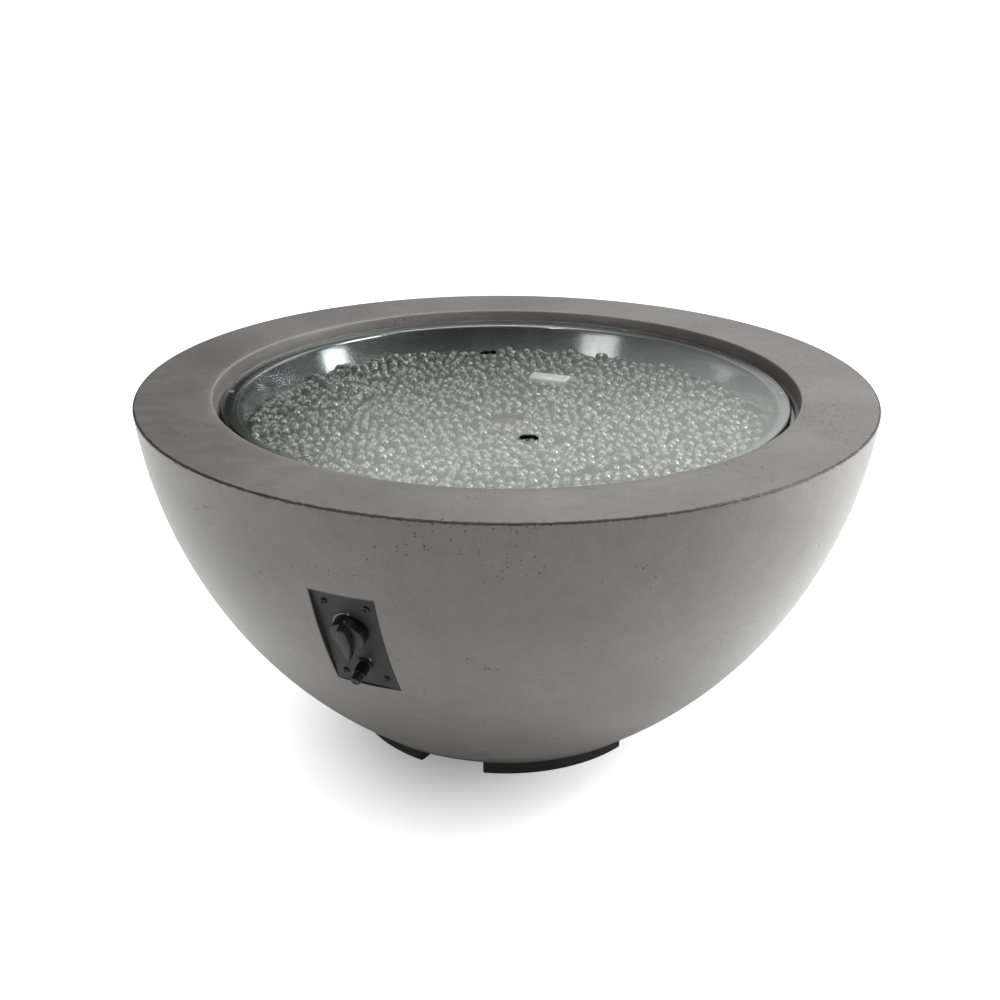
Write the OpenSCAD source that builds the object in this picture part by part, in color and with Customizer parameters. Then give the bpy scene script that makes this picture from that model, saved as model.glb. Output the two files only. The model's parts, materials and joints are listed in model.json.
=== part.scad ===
// Round garden fire bowl with a drop-in ring burner, a lift-off glass cover and a control panel.
// Millimetres, +Z up. The origin is on the floor under the middle of the bowl, and -Y is the front.

/* [Bowl] */
// Outer diameter of the rim
rim_d = 1067; // [960:1:1200]
// Height of the bowl from its flat bottom to the top of the rim
bowl_h = 486; // [440:1:560]
// Diameter of the flat bottom
base_d = 508; // [460:1:560]
// Radius of the curve of the side
side_r = 675; // [600:5:900]
// Thickness of the cast wall
wall = 24; // [20:1:32]
// Thickness of the slab at the bottom
slab_t = 40; // [32:1:60]
// Thickness of the rim
rim_t = 60; // [50:1:80]
// Diameter of the opening in the rim
opening_d = 848; // [830:1:870]
// Chamfer on the edges of the rim
rim_chamfer = 2.5; // [1:0.5:5]
// Diameter of the vent hole in the bottom
vent_d = 160; // [130:1:190]

/* [Feet] */
// Height of a foot
foot_h = 35; // [25:1:60]
// Distance of a foot from the edge of the flat bottom
foot_inset = 22; // [10:1:40]
// Width of a foot across its curve
foot_w = 60; // [45:1:80]
// Angle that a foot covers
foot_angle = 56; // [40:1:64]
// Direction of the middle of the front foot, from the front towards the right
foot_first = 20; // [0:1:45]
// Angle of the gap between the front foot and the left foot
foot_gap = 24; // [15:1:40]
// Diameter of a foot bolt
foot_bolt_d = 8; // [6:1:10]
// Length of a foot bolt inside the bowl
foot_bolt_grip = 20; // [12:1:24]

/* [Glass cover] */
// Diameter of the glass cover
cover_d = 824; // [810:1:828]
// Thickness of the glass
cover_t = 6; // [4:0.5:10]
// Depth of the top of the glass below the rim
cover_drop = 13; // [5:0.5:20]
// Diameter of a finger hole
finger_d = 25; // [20:0.5:32]
// Distance of a finger hole from the middle
finger_r = 208; // [150:1:250]
// Direction of the finger holes, from the right
finger_turn = 98; // [80:1:110]
// Height of a clear bumper under the glass
bumper_h = 2; // [1:0.5:4]
// Diameter of a bumper
bumper_d = 10; // [6:0.5:14]
// Number of bumpers
bumper_count = 6; // [4:1:8]

/* [Burner pan] */
// Inner diameter of the pan at its flange
pan_d = 780; // [740:1:790]
// Inner diameter of the pan's floor
pan_floor_d = 732; // [690:1:740]
// Depth of the pan
pan_depth = 75; // [65:1:95]
// Thickness of the pan's sheet
pan_t = 1.5; // [1:0.1:2.5]
// Inside radius of the pan's bends
pan_bend = 6; // [4:0.5:10]
// Depth of the fire glass
gem_depth = 38; // [34:1:50]

/* [Burner] */
// Diameter of the burner's tubes
tube_d = 20; // [18:0.5:22]
// Wall of the burner's tubes
tube_wall = 1.5; // [1:0.1:2.5]
// Radius of the inner burner ring
inner_ring_r = 120; // [90:1:135]
// Radius of the outer burner ring
outer_ring_r = 238; // [232:1:290]
// Diameter of a spoke of the burner
spoke_d = 16; // [12:0.5:17]
// Diameter of a flame port
port_d = 3; // [2:0.5:4]
// Flame ports on the inner ring
inner_ports = 12; // [8:4:24]
// Flame ports on the outer ring
outer_ports = 24; // [16:4:48]
// Diameter of the hub in the middle of the burner
hub_d = 44; // [36:1:60]
// Diameter of the burner's nipple
nipple_d = 21.3; // [17:0.1:26]
// Length of the nipple below the pan
nipple_drop = 28; // [22:1:40]
// Thickness of the pipe nuts
pipe_nut_t = 7; // [5:0.5:9]
// Outer diameter of the air mixer
mixer_d = 34; // [30:1:44]
// Length of the air mixer
mixer_l = 60; // [50:1:80]
// Reach of the feed elbow from the middle
elbow_reach = 45; // [35:1:60]

/* [Pilot] */
// Direction of the pilot, from the back towards the right
pilot_turn = 21; // [0:1:45]
// Width of the hood
hood_w = 63; // [56:1:80]
// Depth of the hood
hood_d = 27; // [24:1:32]
// Height of the hood above the pan's floor
hood_h = 47; // [42:1:60]
// Thickness of the hood's sheet
hood_t = 1.2; // [0.8:0.1:2]
// Height of the shelf that carries the pilot pieces
shelf_h = 15; // [12:1:20]
// Distance between the pilot pieces
pilot_pitch = 18; // [16:0.5:20]

/* [Control panel] */
// Width of the panel
panel_w = 87; // [82:1:100]
// Height of the panel
panel_h = 164; // [152:1:184]
// Thickness of the panel
panel_t = 2; // [1.5:0.5:3]
// Height of the panel's middle above the floor, at the bowl's surface
panel_z = 321; // [300:1:340]
// Direction of the panel, from the front towards the left
panel_turn = 23; // [0:0.5:60]
// Lean of the panel from upright
panel_tilt = 22; // [18:0.5:26]
// Depth of the panel's face below the bowl's surface
panel_recess = 8; // [7:0.5:10]
// Gap around the panel in its pocket
panel_gap = 1.5; // [1:0.5:3]
// Distance of the screws from the panel's sides
screw_side = 14.5; // [12:0.5:16]
// Distance of the screws from the panel's ends
screw_end = 18; // [14:0.5:20]
// Diameter of the panel's screws
screw_d = 5; // [4:0.5:6]

/* [Knob and valve] */
// Height of the knob's axis above the panel's middle
knob_v = 22; // [18:1:26]
// Diameter of the knob's skirt
knob_d = 48; // [42:1:50]
// Height of the knob's skirt
skirt_h = 12; // [8:0.5:14]
// Length of the knob's grip
grip_l = 55; // [48:1:60]
// Reach of the grip's pointed end past the knob's axis
grip_reach = 33; // [26:1:36]
// Width of the knob's grip
grip_w = 15; // [11:0.5:20]
// Distance of the knob's front from the panel
knob_h = 26; // [24:1:36]
// Distance that the knob can be pushed in
knob_push = 3; // [2:0.5:4]
// Diameter of the valve's spindle
spindle_d = 8; // [6:0.5:9]
// Width of the valve's body
valve_w = 40; // [34:1:42]
// Depth of the valve's body
valve_l = 46; // [40:1:60]
// Diameter of the valve's collar
collar_d = 16; // [14:0.5:18]

/* [Igniter] */
// Distance of the igniter to the right of the panel's middle
igniter_u = 3; // [2:0.5:9]
// Distance of the igniter below the panel's middle
igniter_v = 43; // [40:0.5:45]
// Diameter of the igniter's barrel
barrel_d = 17; // [15:0.5:19]
// Length of the barrel in front of the panel
barrel_l = 20; // [14:1:26]
// Diameter of the button
button_d = 13; // [10:0.5:13.5]
// Length of the button outside the barrel
button_l = 11; // [7:0.5:14]
// Distance that the button can be pushed in
button_push = 5; // [3:0.5:6]
// Length of the spark module behind the panel
module_l = 58; // [50:1:70]

/* [Gas line] */
// Diameter of the gas hoses
hose_d = 14; // [11:0.5:15]
// Diameter of the pilot tube
pilot_tube_d = 6; // [4:0.5:7]
// Diameter of the leads
lead_d = 3; // [2:0.5:4]
// Diameter of the inlet's thread
inlet_d = 15.9; // [12:0.1:19]
// Length of the inlet's thread
inlet_l = 16; // [12:1:20]
// Width of the inlet's bracket
bracket_w = 50; // [36:1:70]
// Thickness of the inlet's bracket
bracket_t = 3; // [2:0.5:5]

/* [Hidden] */
$fn = 96;

// Clearance of a shaft or a thread in its hole, on the radius
fit = 0.05;
// Clearance between pieces that lie side by side
slip = 0.3;
// Overshoot of a cutting shape past the face that it opens
over = 1;

concrete_grey = [0.47, 0.47, 0.45];
foot_grey = [0.21, 0.21, 0.21];
panel_black = [0.25, 0.25, 0.26];
plastic_black = [0.12, 0.12, 0.12];
steel = [0.68, 0.69, 0.70];
dark_steel = [0.42, 0.44, 0.46];
brass = [0.72, 0.60, 0.32];
clear_glass = [0.75, 0.82, 0.80, 0.35];
gem_glass = [0.62, 0.68, 0.65];
ceramic_white = [0.92, 0.91, 0.88];
lead_black = [0.10, 0.10, 0.10];
copper = [0.72, 0.45, 0.30];

// Levels from the floor up
rim_z = foot_h + bowl_h;
cover_z = rim_z - cover_drop - cover_t;
flange_z = cover_z - bumper_h;
ledge_z = flange_z - pan_t;
pan_z = flange_z - pan_depth;
slab_z = foot_h + slab_t;
gem_z = pan_z + gem_depth;

// The side is an arc of side_r from the edge of the flat bottom to the edge of the rim
rim_r = rim_d / 2;
base_r = base_d / 2;
chord_x = rim_r - base_r;
chord = sqrt(chord_x * chord_x + bowl_h * bowl_h);
sagitta_leg = sqrt(side_r * side_r - chord * chord / 4);
side_x = (rim_r + base_r) / 2 - sagitta_leg * bowl_h / chord;
side_z = foot_h + bowl_h / 2 + sagitta_leg * chord_x / chord;
function side_radius(z) = side_x + sqrt(side_r * side_r - (z - side_z) * (z - side_z));

// Opening, pan and cover
opening_r = opening_d / 2;
pan_r = pan_d / 2;
pan_floor_r = pan_floor_d / 2;
flange_gap = 6;
flange_r = opening_r - flange_gap;
ledge_gap = 2;
ledge_r = pan_r + pan_t + pan_bend + ledge_gap;
bumper_r = (pan_r + pan_bend + cover_d / 2) / 2;

// Feet, evenly spread over what the front gap leaves
foot_r = base_r - foot_inset;
foot_step = (360 - foot_angle - foot_gap) / 3;
foot_chamfer = 2;
foot_head_d = foot_bolt_d + 5;
foot_head_h = foot_bolt_d;
foot_head_sunk = 2;
foot_insert_d = foot_bolt_d + 4;
foot_insert_l = foot_bolt_grip + 4;
foot_bolt_r = foot_r - foot_w / 2;
function foot_middle(i) = foot_first - 90 + i * foot_step;

// Burner
spoke_angles = [45 : 90 : 315];
pipe_nut_d = nipple_d * 1.7;
hub_h = 24;
hub_z = pan_z + pipe_nut_t;
burner_z = hub_z + hub_h / 2;
nipple_grip = 15;
nipple_bore = nipple_d - 5;
nipple_low = pan_z - pan_t - nipple_drop;
mixer_grip = 10;
mixer_top = nipple_low + mixer_grip;
mixer_low = mixer_top - mixer_l;
mixer_window_w = 10;
mixer_window_h = 18;
elbow_d = 22;
elbow_neck = 12;
elbow_z = mixer_low - elbow_neck;

// Pilot pieces stand on a line across the hood, whose front is midway between the burner rings
hood_r = (inner_ring_r + outer_ring_r) / 2;
pilot_r = hood_r + hood_d / 2;
bracket_sheet = 2;
tab_l = 14;
pilot_d = 10;
pilot_flange_d = 14;
pilot_flange_h = 3;
pilot_foot = 18;
insulator_d = 7;
electrode_d = 2.5;
probe_d = 5;
pilot_hole_gap = 1;
function pilot_place(i) = [
    pilot_r * sin(pilot_turn) + i * pilot_pitch * cos(pilot_turn),
    pilot_r * cos(pilot_turn) - i * pilot_pitch * sin(pilot_turn)];

// Panel frame: u to the right, v up the panel, w out of it
panel_side = [cos(panel_turn), -sin(panel_turn), 0];
panel_up = [-sin(panel_tilt) * sin(panel_turn), -sin(panel_tilt) * cos(panel_turn), cos(panel_tilt)];
panel_out = [-cos(panel_tilt) * sin(panel_turn), -cos(panel_tilt) * cos(panel_turn), -sin(panel_tilt)];
panel_r = side_radius(panel_z);
panel_place = [-panel_r * sin(panel_turn), -panel_r * cos(panel_turn), panel_z] - panel_recess * panel_out;
function panel_point(u, v, w) = panel_place + u * panel_side + v * panel_up + w * panel_out;
screw_u = panel_w / 2 - screw_side;
screw_v = panel_h / 2 - screw_end;
screw_head_d = screw_d * 1.8;
screw_head_h = screw_d * 0.64;
screw_l = 12;
insert_d = screw_d + 3;
insert_l = 12;
insert_web = 1.5;
window_w = panel_w - 2 * (screw_side + insert_d / 2 + insert_web);
window_h = panel_h - 2 * (screw_end + insert_d / 2 + insert_web);
pocket_reach = 60;

// Valve, along the knob's axis
collar_h = 5;
valve_nut_t = 4;
valve_nut_d = collar_d * 1.6;
skirt_lift = knob_push + 1;
skirt_taper = 1.5;
nut_room = 2;
grip_tip_cut = 2;
hub_roof = collar_h + knob_push + 1;
knob_cap = 3;
spindle_top = knob_h - knob_cap;
spindle_low = -20;
plug_d = spindle_d + 5;
plug_l = 8;
plunger_d = 5;
plunger_head_d = plug_d;
plunger_head_t = 3;
chamber_d = plug_d + 2 * slip;
chamber_low = -panel_t - valve_l + 4;
spring_wire = 1.2;
port_l = 14;
port_back = 34;
inlet_u = -12;
pilot_port_v = 8;
pilot_port_l = 10;
pilot_port_d = pilot_tube_d + 3;
boss_l = 12;
boss_d = 26;
magnet_d = 20;
magnet_l = 25;
magnet_hex_t = 6;
valve_back = -panel_t - valve_l;
boss_back = valve_back - boss_l;
magnet_back = boss_back - magnet_l;
flat_depth = 1;

// Igniter, along the button's axis
flange_t = 3;
barrel_flange_d = barrel_d + 5;
barrel_bore = button_d + 2 * slip;
barrel_back = 14;
igniter_nut_t = 5;
igniter_nut_d = barrel_d + 6;
module_d = 20;
barrel_wall_back = 2;
button_low = barrel_l - button_push - 6;
terminal_d = 5;
terminal_l = 6;

// Inlet in the middle of the bottom
bracket_l = vent_d + 60;
bracket_screw_d = 6;
bracket_screw_x = vent_d / 2 + 15;
bracket_screw_l = 24;
inlet_bore = 7;
inlet_hex_t = 9;
inlet_stud = 14;
inlet_neck = 18;
inlet_nose = 6;
inlet_nut_t = 8;
inlet_nut_d = inlet_d * 1.65;
inlet_top = slab_z + bracket_t + inlet_stud + inlet_neck;

// Routes of the hoses and leads: ends from the ports, hand-chosen points between
lead_in = 20;
supply_route = concat(
    [panel_point(valve_w / 2 + port_l, knob_v, -panel_t - port_back),
     panel_point(valve_w / 2 + port_l + lead_in, knob_v, -panel_t - port_back)],
    [[-85, -432, 357], [-50, -400, 354], [-30, -340, 348], [-18, -250, 340], [-6, -160, 332]],
    [[0, -elbow_reach - 2 * lead_in, elbow_z], [0, -elbow_reach, elbow_z]]);
inlet_route = concat(
    [panel_point(inlet_u, knob_v - valve_w / 2 - port_l, -panel_t - port_back),
     panel_point(inlet_u, knob_v - valve_w / 2 - port_l - lead_in, -panel_t - port_back)],
    [[-182, -368, 273], [-152, -310, 220], [-110, -220, 198], [-62, -120, 194], [-18, -36, 180]],
    [[0, 0, inlet_top + lead_in], [0, 0, inlet_top]]);
pilot_route = concat(
    [panel_point(-valve_w / 2 - pilot_port_l, knob_v + pilot_port_v, -panel_t - port_back),
     panel_point(-valve_w / 2 - pilot_port_l - lead_in, knob_v + pilot_port_v, -panel_t - port_back)],
    [[-242, -378, 366], [-240, -340, 368], [-200, -240, 370], [-130, -110, 368], [-70, 10, 366],
     [0, 110, 366]],
    [[pilot_place(0)[0], pilot_place(0)[1], pan_z - pilot_foot - lead_in],
     [pilot_place(0)[0], pilot_place(0)[1], pan_z - pilot_foot]]);
thermocouple_route = concat(
    [panel_point(0, knob_v, magnet_back), panel_point(0, knob_v, magnet_back - lead_in)],
    [[-130, -305, 396], [-95, -190, 394], [-55, -50, 390], [0, 80, 388]],
    [[pilot_place(1)[0], pilot_place(1)[1], pan_z - pilot_foot - lead_in / 2],
     [pilot_place(1)[0], pilot_place(1)[1], pan_z - pilot_foot]]);
igniter_route = concat(
    [panel_point(igniter_u, -igniter_v, -panel_t - module_l - terminal_l),
     panel_point(igniter_u, -igniter_v, -panel_t - module_l - terminal_l - lead_in)],
    [[-115, -290, 334], [-85, -190, 342], [-62, -80, 346], [-50, 20, 350], [-20, 110, 354]],
    [[pilot_place(-1)[0], pilot_place(-1)[1], pan_z - pilot_foot - lead_in],
     [pilot_place(-1)[0], pilot_place(-1)[1], pan_z - pilot_foot]]);

// A smooth curve through the points of a route, with its two end pieces kept straight
route_steps = 3;
function route_at(p, i, t) =
    let (a = p[max(i - 1, 0)], b = p[i], c = p[i + 1], d = p[min(i + 2, len(p) - 1)])
    0.5 * (2 * b + (c - a) * t + (2 * a - 5 * b + 4 * c - d) * t * t + (3 * b - a - 3 * c + d) * t * t * t);
function route_points(p) = concat([p[0]],
    [for (i = [1 : len(p) - 3], k = [0 : route_steps - 1]) route_at(p, i, k / route_steps)],
    [p[len(p) - 2], p[len(p) - 1]]);
function unit(v) = v / norm(v);
function heading(p, i) =
    i == 0 ? unit(p[1] - p[0]) :
    i == len(p) - 1 ? unit(p[i] - p[i - 1]) : unit(p[i + 1] - p[i - 1]);

// Side directions of the rings, carried along the route without twist
function carried(p, i, side) =
    let (t = heading(p, i), s = unit(side - (side * t) * t))
    i == len(p) - 1 ? [s] : concat([s], carried(p, i + 1, s));

// Round tube along a route, with square ends
module tube_along(route, d, sides) {
    path = route_points(route);
    first = heading(path, 0);
    start = abs(first[2]) < 0.9 ? [0, 0, 1] : [1, 0, 0];
    normals = carried(path, 0, start);
    rings = len(path);
    points = [for (i = [0 : rings - 1], k = [0 : sides - 1])
        let (t = heading(path, i), n = normals[i], b = cross(t, n), a = 360 * k / sides)
        path[i] + d / 2 * (cos(a) * n + sin(a) * b)];
    walls = [for (i = [0 : rings - 2], k = [0 : sides - 1], half = [0, 1])
        let (m = (k + 1) % sides, q = i * sides)
        half == 0 ? [q + k, q + sides + k, q + sides + m] : [q + k, q + sides + m, q + m]];
    start_cap = [for (k = [1 : sides - 2]) [0, k, k + 1]];
    last = (rings - 1) * sides;
    end_cap = [for (k = [1 : sides - 2]) [last, last + k + 1, last + k]];
    polyhedron(points, concat(walls, start_cap, end_cap));
}

// Places children in the panel's frame
module on_panel(u = 0, v = 0, w = 0) {
    translate(panel_place) rotate([90 + panel_tilt, 0, -panel_turn]) translate([u, v, w]) children();
}

// Places children in the pilot's frame: x across the hood, y away from the middle, z from the pan's floor
module on_pilot(x = 0, y = 0, z = 0) {
    rotate([0, 0, -pilot_turn]) translate([x, hood_r + y, pan_z + z]) children();
}

// Hexagonal nut with its bore, standing on z = 0
module hex_nut(across, t, bore) {
    difference() {
        cylinder(d = across, h = t, $fn = 6);
        translate([0, 0, -over]) cylinder(d = bore, h = t + 2 * over);
    }
}

// Pan head with a shank below it, standing on z = 0
module pan_screw(head_d, head_h, shank_d, shank_l) {
    dome = head_h * 0.6;
    union() {
        rotate_extrude() difference() {
            intersection() {
                square([head_d / 2, head_h]);
                translate([0, head_h - head_d]) circle(r = head_d);
            }
            translate([-over, dome]) square([head_d * 0.14 + over, head_h]);
        }
        translate([0, 0, -shank_l]) cylinder(d = shank_d, h = shank_l + dome / 2);
    }
}

// Coil of round wire standing on z = 0, as one tube
module coil(mean_d, wire, free_l, turns) {
    steps = 12;
    rise = free_l - wire;
    path = [for (i = [0 : turns * steps])
        let (a = 360 * i / steps)
        [mean_d / 2 * cos(a), mean_d / 2 * sin(a), wire / 2 + rise * i / (turns * steps)]];
    sides = 6;
    rings = len(path);
    points = [for (i = [0 : rings - 1], k = [0 : sides - 1])
        let (t = heading(path, i), n = unit([path[i][0], path[i][1], 0]), b = cross(t, n))
        let (a = 360 * k / sides)
        path[i] + wire / 2 * (cos(a) * n + sin(a) * b)];
    walls = [for (i = [0 : rings - 2], k = [0 : sides - 1], half = [0, 1])
        let (m = (k + 1) % sides, q = i * sides)
        half == 0 ? [q + k, q + sides + k, q + sides + m] : [q + k, q + sides + m, q + m]];
    start_cap = [for (k = [1 : sides - 2]) [0, k, k + 1]];
    last = (rings - 1) * sides;
    end_cap = [for (k = [1 : sides - 2]) [last, last + k + 1, last + k]];
    polyhedron(points, concat(walls, start_cap, end_cap));
}

// Half section of the cast shell: outer arc, rim, rebate, inner arc and bottom slab
module bowl_section() {
    difference() {
        intersection() {
            translate([side_x, side_z]) circle(r = side_r, $fn = 360);
            translate([0, foot_h]) square([rim_r + over, bowl_h]);
        }
        intersection() {
            translate([side_x, side_z]) circle(r = side_r - wall, $fn = 360);
            translate([-over, slab_z]) square([rim_r, bowl_h - slab_t - rim_t]);
        }
        translate([-over, rim_z - rim_t - over]) square([ledge_r + over, rim_t + 2 * over]);
        translate([-over, ledge_z]) square([opening_r + over, rim_t]);
        translate([-over, foot_h - over]) square([vent_d / 2 + over, slab_t + 2 * over]);
        polygon([[rim_r - rim_chamfer, rim_z + over], [rim_r - rim_chamfer, rim_z],
            [side_radius(rim_z - rim_chamfer), rim_z - rim_chamfer],
            [rim_r + over, rim_z - rim_chamfer], [rim_r + over, rim_z + over]]);
        polygon([[opening_r - over, rim_z - rim_chamfer], [opening_r, rim_z - rim_chamfer],
            [opening_r + rim_chamfer, rim_z], [opening_r + rim_chamfer, rim_z + over],
            [opening_r - over, rim_z + over]]);
    }
}

module bowl() {
    color(concrete_grey) difference() {
        rotate_extrude($fn = 180) bowl_section();
        on_panel(-panel_w / 2 - panel_gap, -panel_h / 2 - panel_gap, -panel_t)
            cube([panel_w + 2 * panel_gap, panel_h + 2 * panel_gap, pocket_reach]);
        on_panel(-window_w / 2, -window_h / 2, -panel_t - pocket_reach)
            cube([window_w, window_h, pocket_reach + over]);
        for (u = [-screw_u, screw_u], v = [-screw_v, screw_v])
            on_panel(u, v, -panel_t - insert_l) cylinder(d = insert_d + 2 * fit, h = insert_l + over);
        for (i = [0 : 3], side = [-1, 1])
            rotate([0, 0, foot_middle(i) + side * foot_angle / 4])
                translate([foot_bolt_r, 0, foot_h - over])
                    cylinder(d = foot_insert_d + 2 * fit, h = foot_insert_l + over);
        for (x = [-bracket_screw_x, bracket_screw_x])
            translate([x, 0, slab_z + bracket_t - bracket_screw_l - over])
                cylinder(d = bracket_screw_d + 2 * fit, h = bracket_screw_l + 2 * over);
    }
}

// One foot: a curved block with chamfered edges and two counterbored bolt holes
module foot(i) {
    color(foot_grey) difference() {
        rotate([0, 0, foot_middle(i) - foot_angle / 2]) rotate_extrude(angle = foot_angle)
            polygon([[foot_r - foot_w, foot_chamfer], [foot_r - foot_w + foot_chamfer, 0],
                [foot_r - foot_chamfer, 0], [foot_r, foot_chamfer],
                [foot_r, foot_h], [foot_r - foot_w, foot_h]]);
        for (side = [-1, 1])
            rotate([0, 0, foot_middle(i) + side * foot_angle / 4]) translate([foot_bolt_r, 0, 0]) {
                translate([0, 0, -over]) cylinder(d = foot_bolt_d + 4 * fit, h = foot_h + 2 * over);
                translate([0, 0, -over])
                    cylinder(d = foot_head_d + 2 * slip, h = foot_head_sunk + foot_head_h + over);
            }
    }
}

module foot_front() { foot(0); }
module foot_right() { foot(1); }
module foot_back() { foot(2); }
module foot_left() { foot(3); }

// Places children at each foot bolt
module at_foot_bolts() {
    for (i = [0 : 3], side = [-1, 1])
        rotate([0, 0, foot_middle(i) + side * foot_angle / 4]) translate([foot_bolt_r, 0, 0]) children();
}

module foot_bolts() {
    color(steel) at_foot_bolts() translate([0, 0, foot_head_sunk]) {
        difference() {
            cylinder(d = foot_head_d, h = foot_head_h);
            translate([0, 0, -over]) cylinder(d = foot_bolt_d * 0.75, h = foot_head_h / 2 + over, $fn = 6);
        }
        translate([0, 0, foot_head_h])
            cylinder(d = foot_bolt_d, h = foot_h - foot_head_sunk - foot_head_h + foot_bolt_grip);
    }
}

module foot_inserts() {
    color(brass) at_foot_bolts() translate([0, 0, foot_h]) difference() {
        cylinder(d = foot_insert_d, h = foot_insert_l);
        translate([0, 0, -over]) cylinder(d = foot_bolt_d + 2 * fit, h = foot_bolt_grip + slip + over);
    }
}

// Points of an arc, from angle a to angle b
function arc(x, y, r, a, b, steps = 6) = [for (k = [0 : steps])
    let (t = a + (b - a) * k / steps) [x + r * cos(t), y + r * sin(t)]];

// Half section of the pan's sheet, grown inward by nothing or outward by the sheet
pan_lean = atan2(pan_r - pan_floor_r, pan_depth);
module pan_section() {
    low = pan_bend;
    corner = tan((90 - pan_lean) / 2) * low;
    top = tan((90 - pan_lean) / 2) * (pan_bend + pan_t);
    floor_x = pan_floor_r - corner;
    inner = concat([[0, pan_z]],
        arc(floor_x, pan_z + low, low, -90, -pan_lean),
        arc(pan_r + top, flange_z - pan_bend - pan_t, pan_bend + pan_t, 180 - pan_lean, 90),
        [[flange_r, flange_z]]);
    outer = concat([[flange_r, flange_z - pan_t]],
        arc(pan_r + top, flange_z - pan_bend - pan_t, pan_bend, 90, 180 - pan_lean),
        arc(floor_x, pan_z + low, low + pan_t, -pan_lean, -90),
        [[0, pan_z - pan_t]]);
    polygon(concat(inner, outer));
}

module burner_pan() {
    weep_count = 8;
    weep_d = 6;
    weep_r = (outer_ring_r + pan_floor_r) / 2;
    color(dark_steel) difference() {
        rotate_extrude($fn = 180) pan_section();
        translate([0, 0, pan_z - pan_t - over]) cylinder(d = nipple_d + 4 * fit, h = pan_t + 2 * over);
        for (i = [0 : weep_count - 1])
            rotate([0, 0, 360 * i / weep_count]) translate([weep_r, 0, pan_z - pan_t - over])
                cylinder(d = weep_d, h = pan_t + 2 * over);
        for (i = [-1 : 1])
            translate([pilot_place(i)[0], pilot_place(i)[1], pan_z - pan_t - over])
                cylinder(d = pilot_d + 2 * pilot_hole_gap, h = pan_t + 2 * over);
    }
}

// Fire glass: a filled dish with channels for the burner and a well for the pilot
module fire_glass() {
    wall_r = pan_floor_r + gem_depth * tan(pan_lean) - slip;
    tube_top = burner_z + tube_d / 2 + slip;
    color(gem_glass) difference() {
        rotate_extrude($fn = 180) difference() {
            polygon([[0, pan_z], [pan_floor_r - pan_bend - pan_t, pan_z],
                [pan_floor_r - slip, pan_z + pan_bend], [wall_r, gem_z], [0, gem_z]]);
            for (r = [inner_ring_r, outer_ring_r])
                translate([r - tube_d / 2 - slip, pan_z - over])
                    square([tube_d + 2 * slip, tube_top - pan_z + over]);
            translate([-over, pan_z - over])
                square([hub_d / 2 + slip + over, hub_h + pipe_nut_t + slip + over]);
        }
        for (a = spoke_angles)
            rotate([0, 0, a]) translate([0, -spoke_d / 2 - slip, pan_z - over])
                cube([outer_ring_r, spoke_d + 2 * slip, burner_z + spoke_d / 2 + slip - pan_z + over]);
        on_pilot(-hood_w / 2 - slip, -slip, -over)
            cube([hood_w + 2 * slip, hood_d + 2 * slip, gem_depth + 2 * over]);
        on_pilot(-hood_w / 2 - tab_l - slip, -slip, -over)
            cube([hood_w + 2 * tab_l + 2 * slip, hood_d + 2 * slip, hood_t + slip + over]);
    }
}

module glass_cover() {
    edge = cover_t / 6;
    color(clear_glass) difference() {
        rotate_extrude($fn = 180) polygon([[0, cover_z], [cover_d / 2 - edge, cover_z],
            [cover_d / 2, cover_z + edge], [cover_d / 2, cover_z + cover_t - edge],
            [cover_d / 2 - edge, cover_z + cover_t], [0, cover_z + cover_t]]);
        for (turn = [0, 180])
            rotate([0, 0, finger_turn + turn]) translate([finger_r, 0, cover_z - over])
                cylinder(d = finger_d, h = cover_t + 2 * over);
    }
}

module cover_bumpers() {
    color(clear_glass) for (i = [0 : bumper_count - 1])
        rotate([0, 0, 360 * i / bumper_count]) translate([bumper_r, 0, flange_z])
            cylinder(d1 = bumper_d - bumper_h, d2 = bumper_d, h = bumper_h);
}

// Ring burner: two hollow rings on four spokes, with flame ports along their tops
module ring_burner() {
    color(steel) difference() {
        union() {
            for (r = [inner_ring_r, outer_ring_r])
                translate([0, 0, burner_z]) rotate_extrude($fn = 120) translate([r, 0])
                    circle(d = tube_d, $fn = 48);
            for (a = spoke_angles)
                translate([0, 0, burner_z]) rotate([0, 90, a]) cylinder(d = spoke_d, h = outer_ring_r);
            translate([0, 0, hub_z]) cylinder(d = hub_d, h = hub_h);
        }
        for (r = [inner_ring_r, outer_ring_r])
            translate([0, 0, burner_z]) rotate_extrude($fn = 120) translate([r, 0])
                circle(d = tube_d - 2 * tube_wall, $fn = 48);
        for (a = spoke_angles)
            translate([0, 0, burner_z]) rotate([0, 90, a])
                cylinder(d = spoke_d - 2 * tube_wall, h = outer_ring_r);
        translate([0, 0, hub_z - over]) cylinder(d = nipple_d + 2 * fit, h = nipple_grip + over);
        ports(inner_ring_r, inner_ports);
        ports(outer_ring_r, outer_ports);
    }
}

// Flame ports between the spokes
module ports(r, count) {
    for (i = [0 : count - 1])
        rotate([0, 0, 360 * (i + 0.5) / count]) translate([r, 0, burner_z])
            cylinder(d = port_d, h = tube_d);
}

module burner_nipple() {
    nipple_top = hub_z + nipple_grip;
    color(steel) translate([0, 0, nipple_low]) difference() {
        cylinder(d = nipple_d, h = nipple_top - nipple_low);
        translate([0, 0, -over]) cylinder(d = nipple_bore, h = nipple_top - nipple_low + 2 * over);
    }
}

module nipple_nuts() {
    color(steel) {
        translate([0, 0, pan_z]) hex_nut(pipe_nut_d, pipe_nut_t, nipple_d + 2 * fit);
        translate([0, 0, pan_z - pan_t - pipe_nut_t]) hex_nut(pipe_nut_d, pipe_nut_t, nipple_d + 2 * fit);
    }
}

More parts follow.
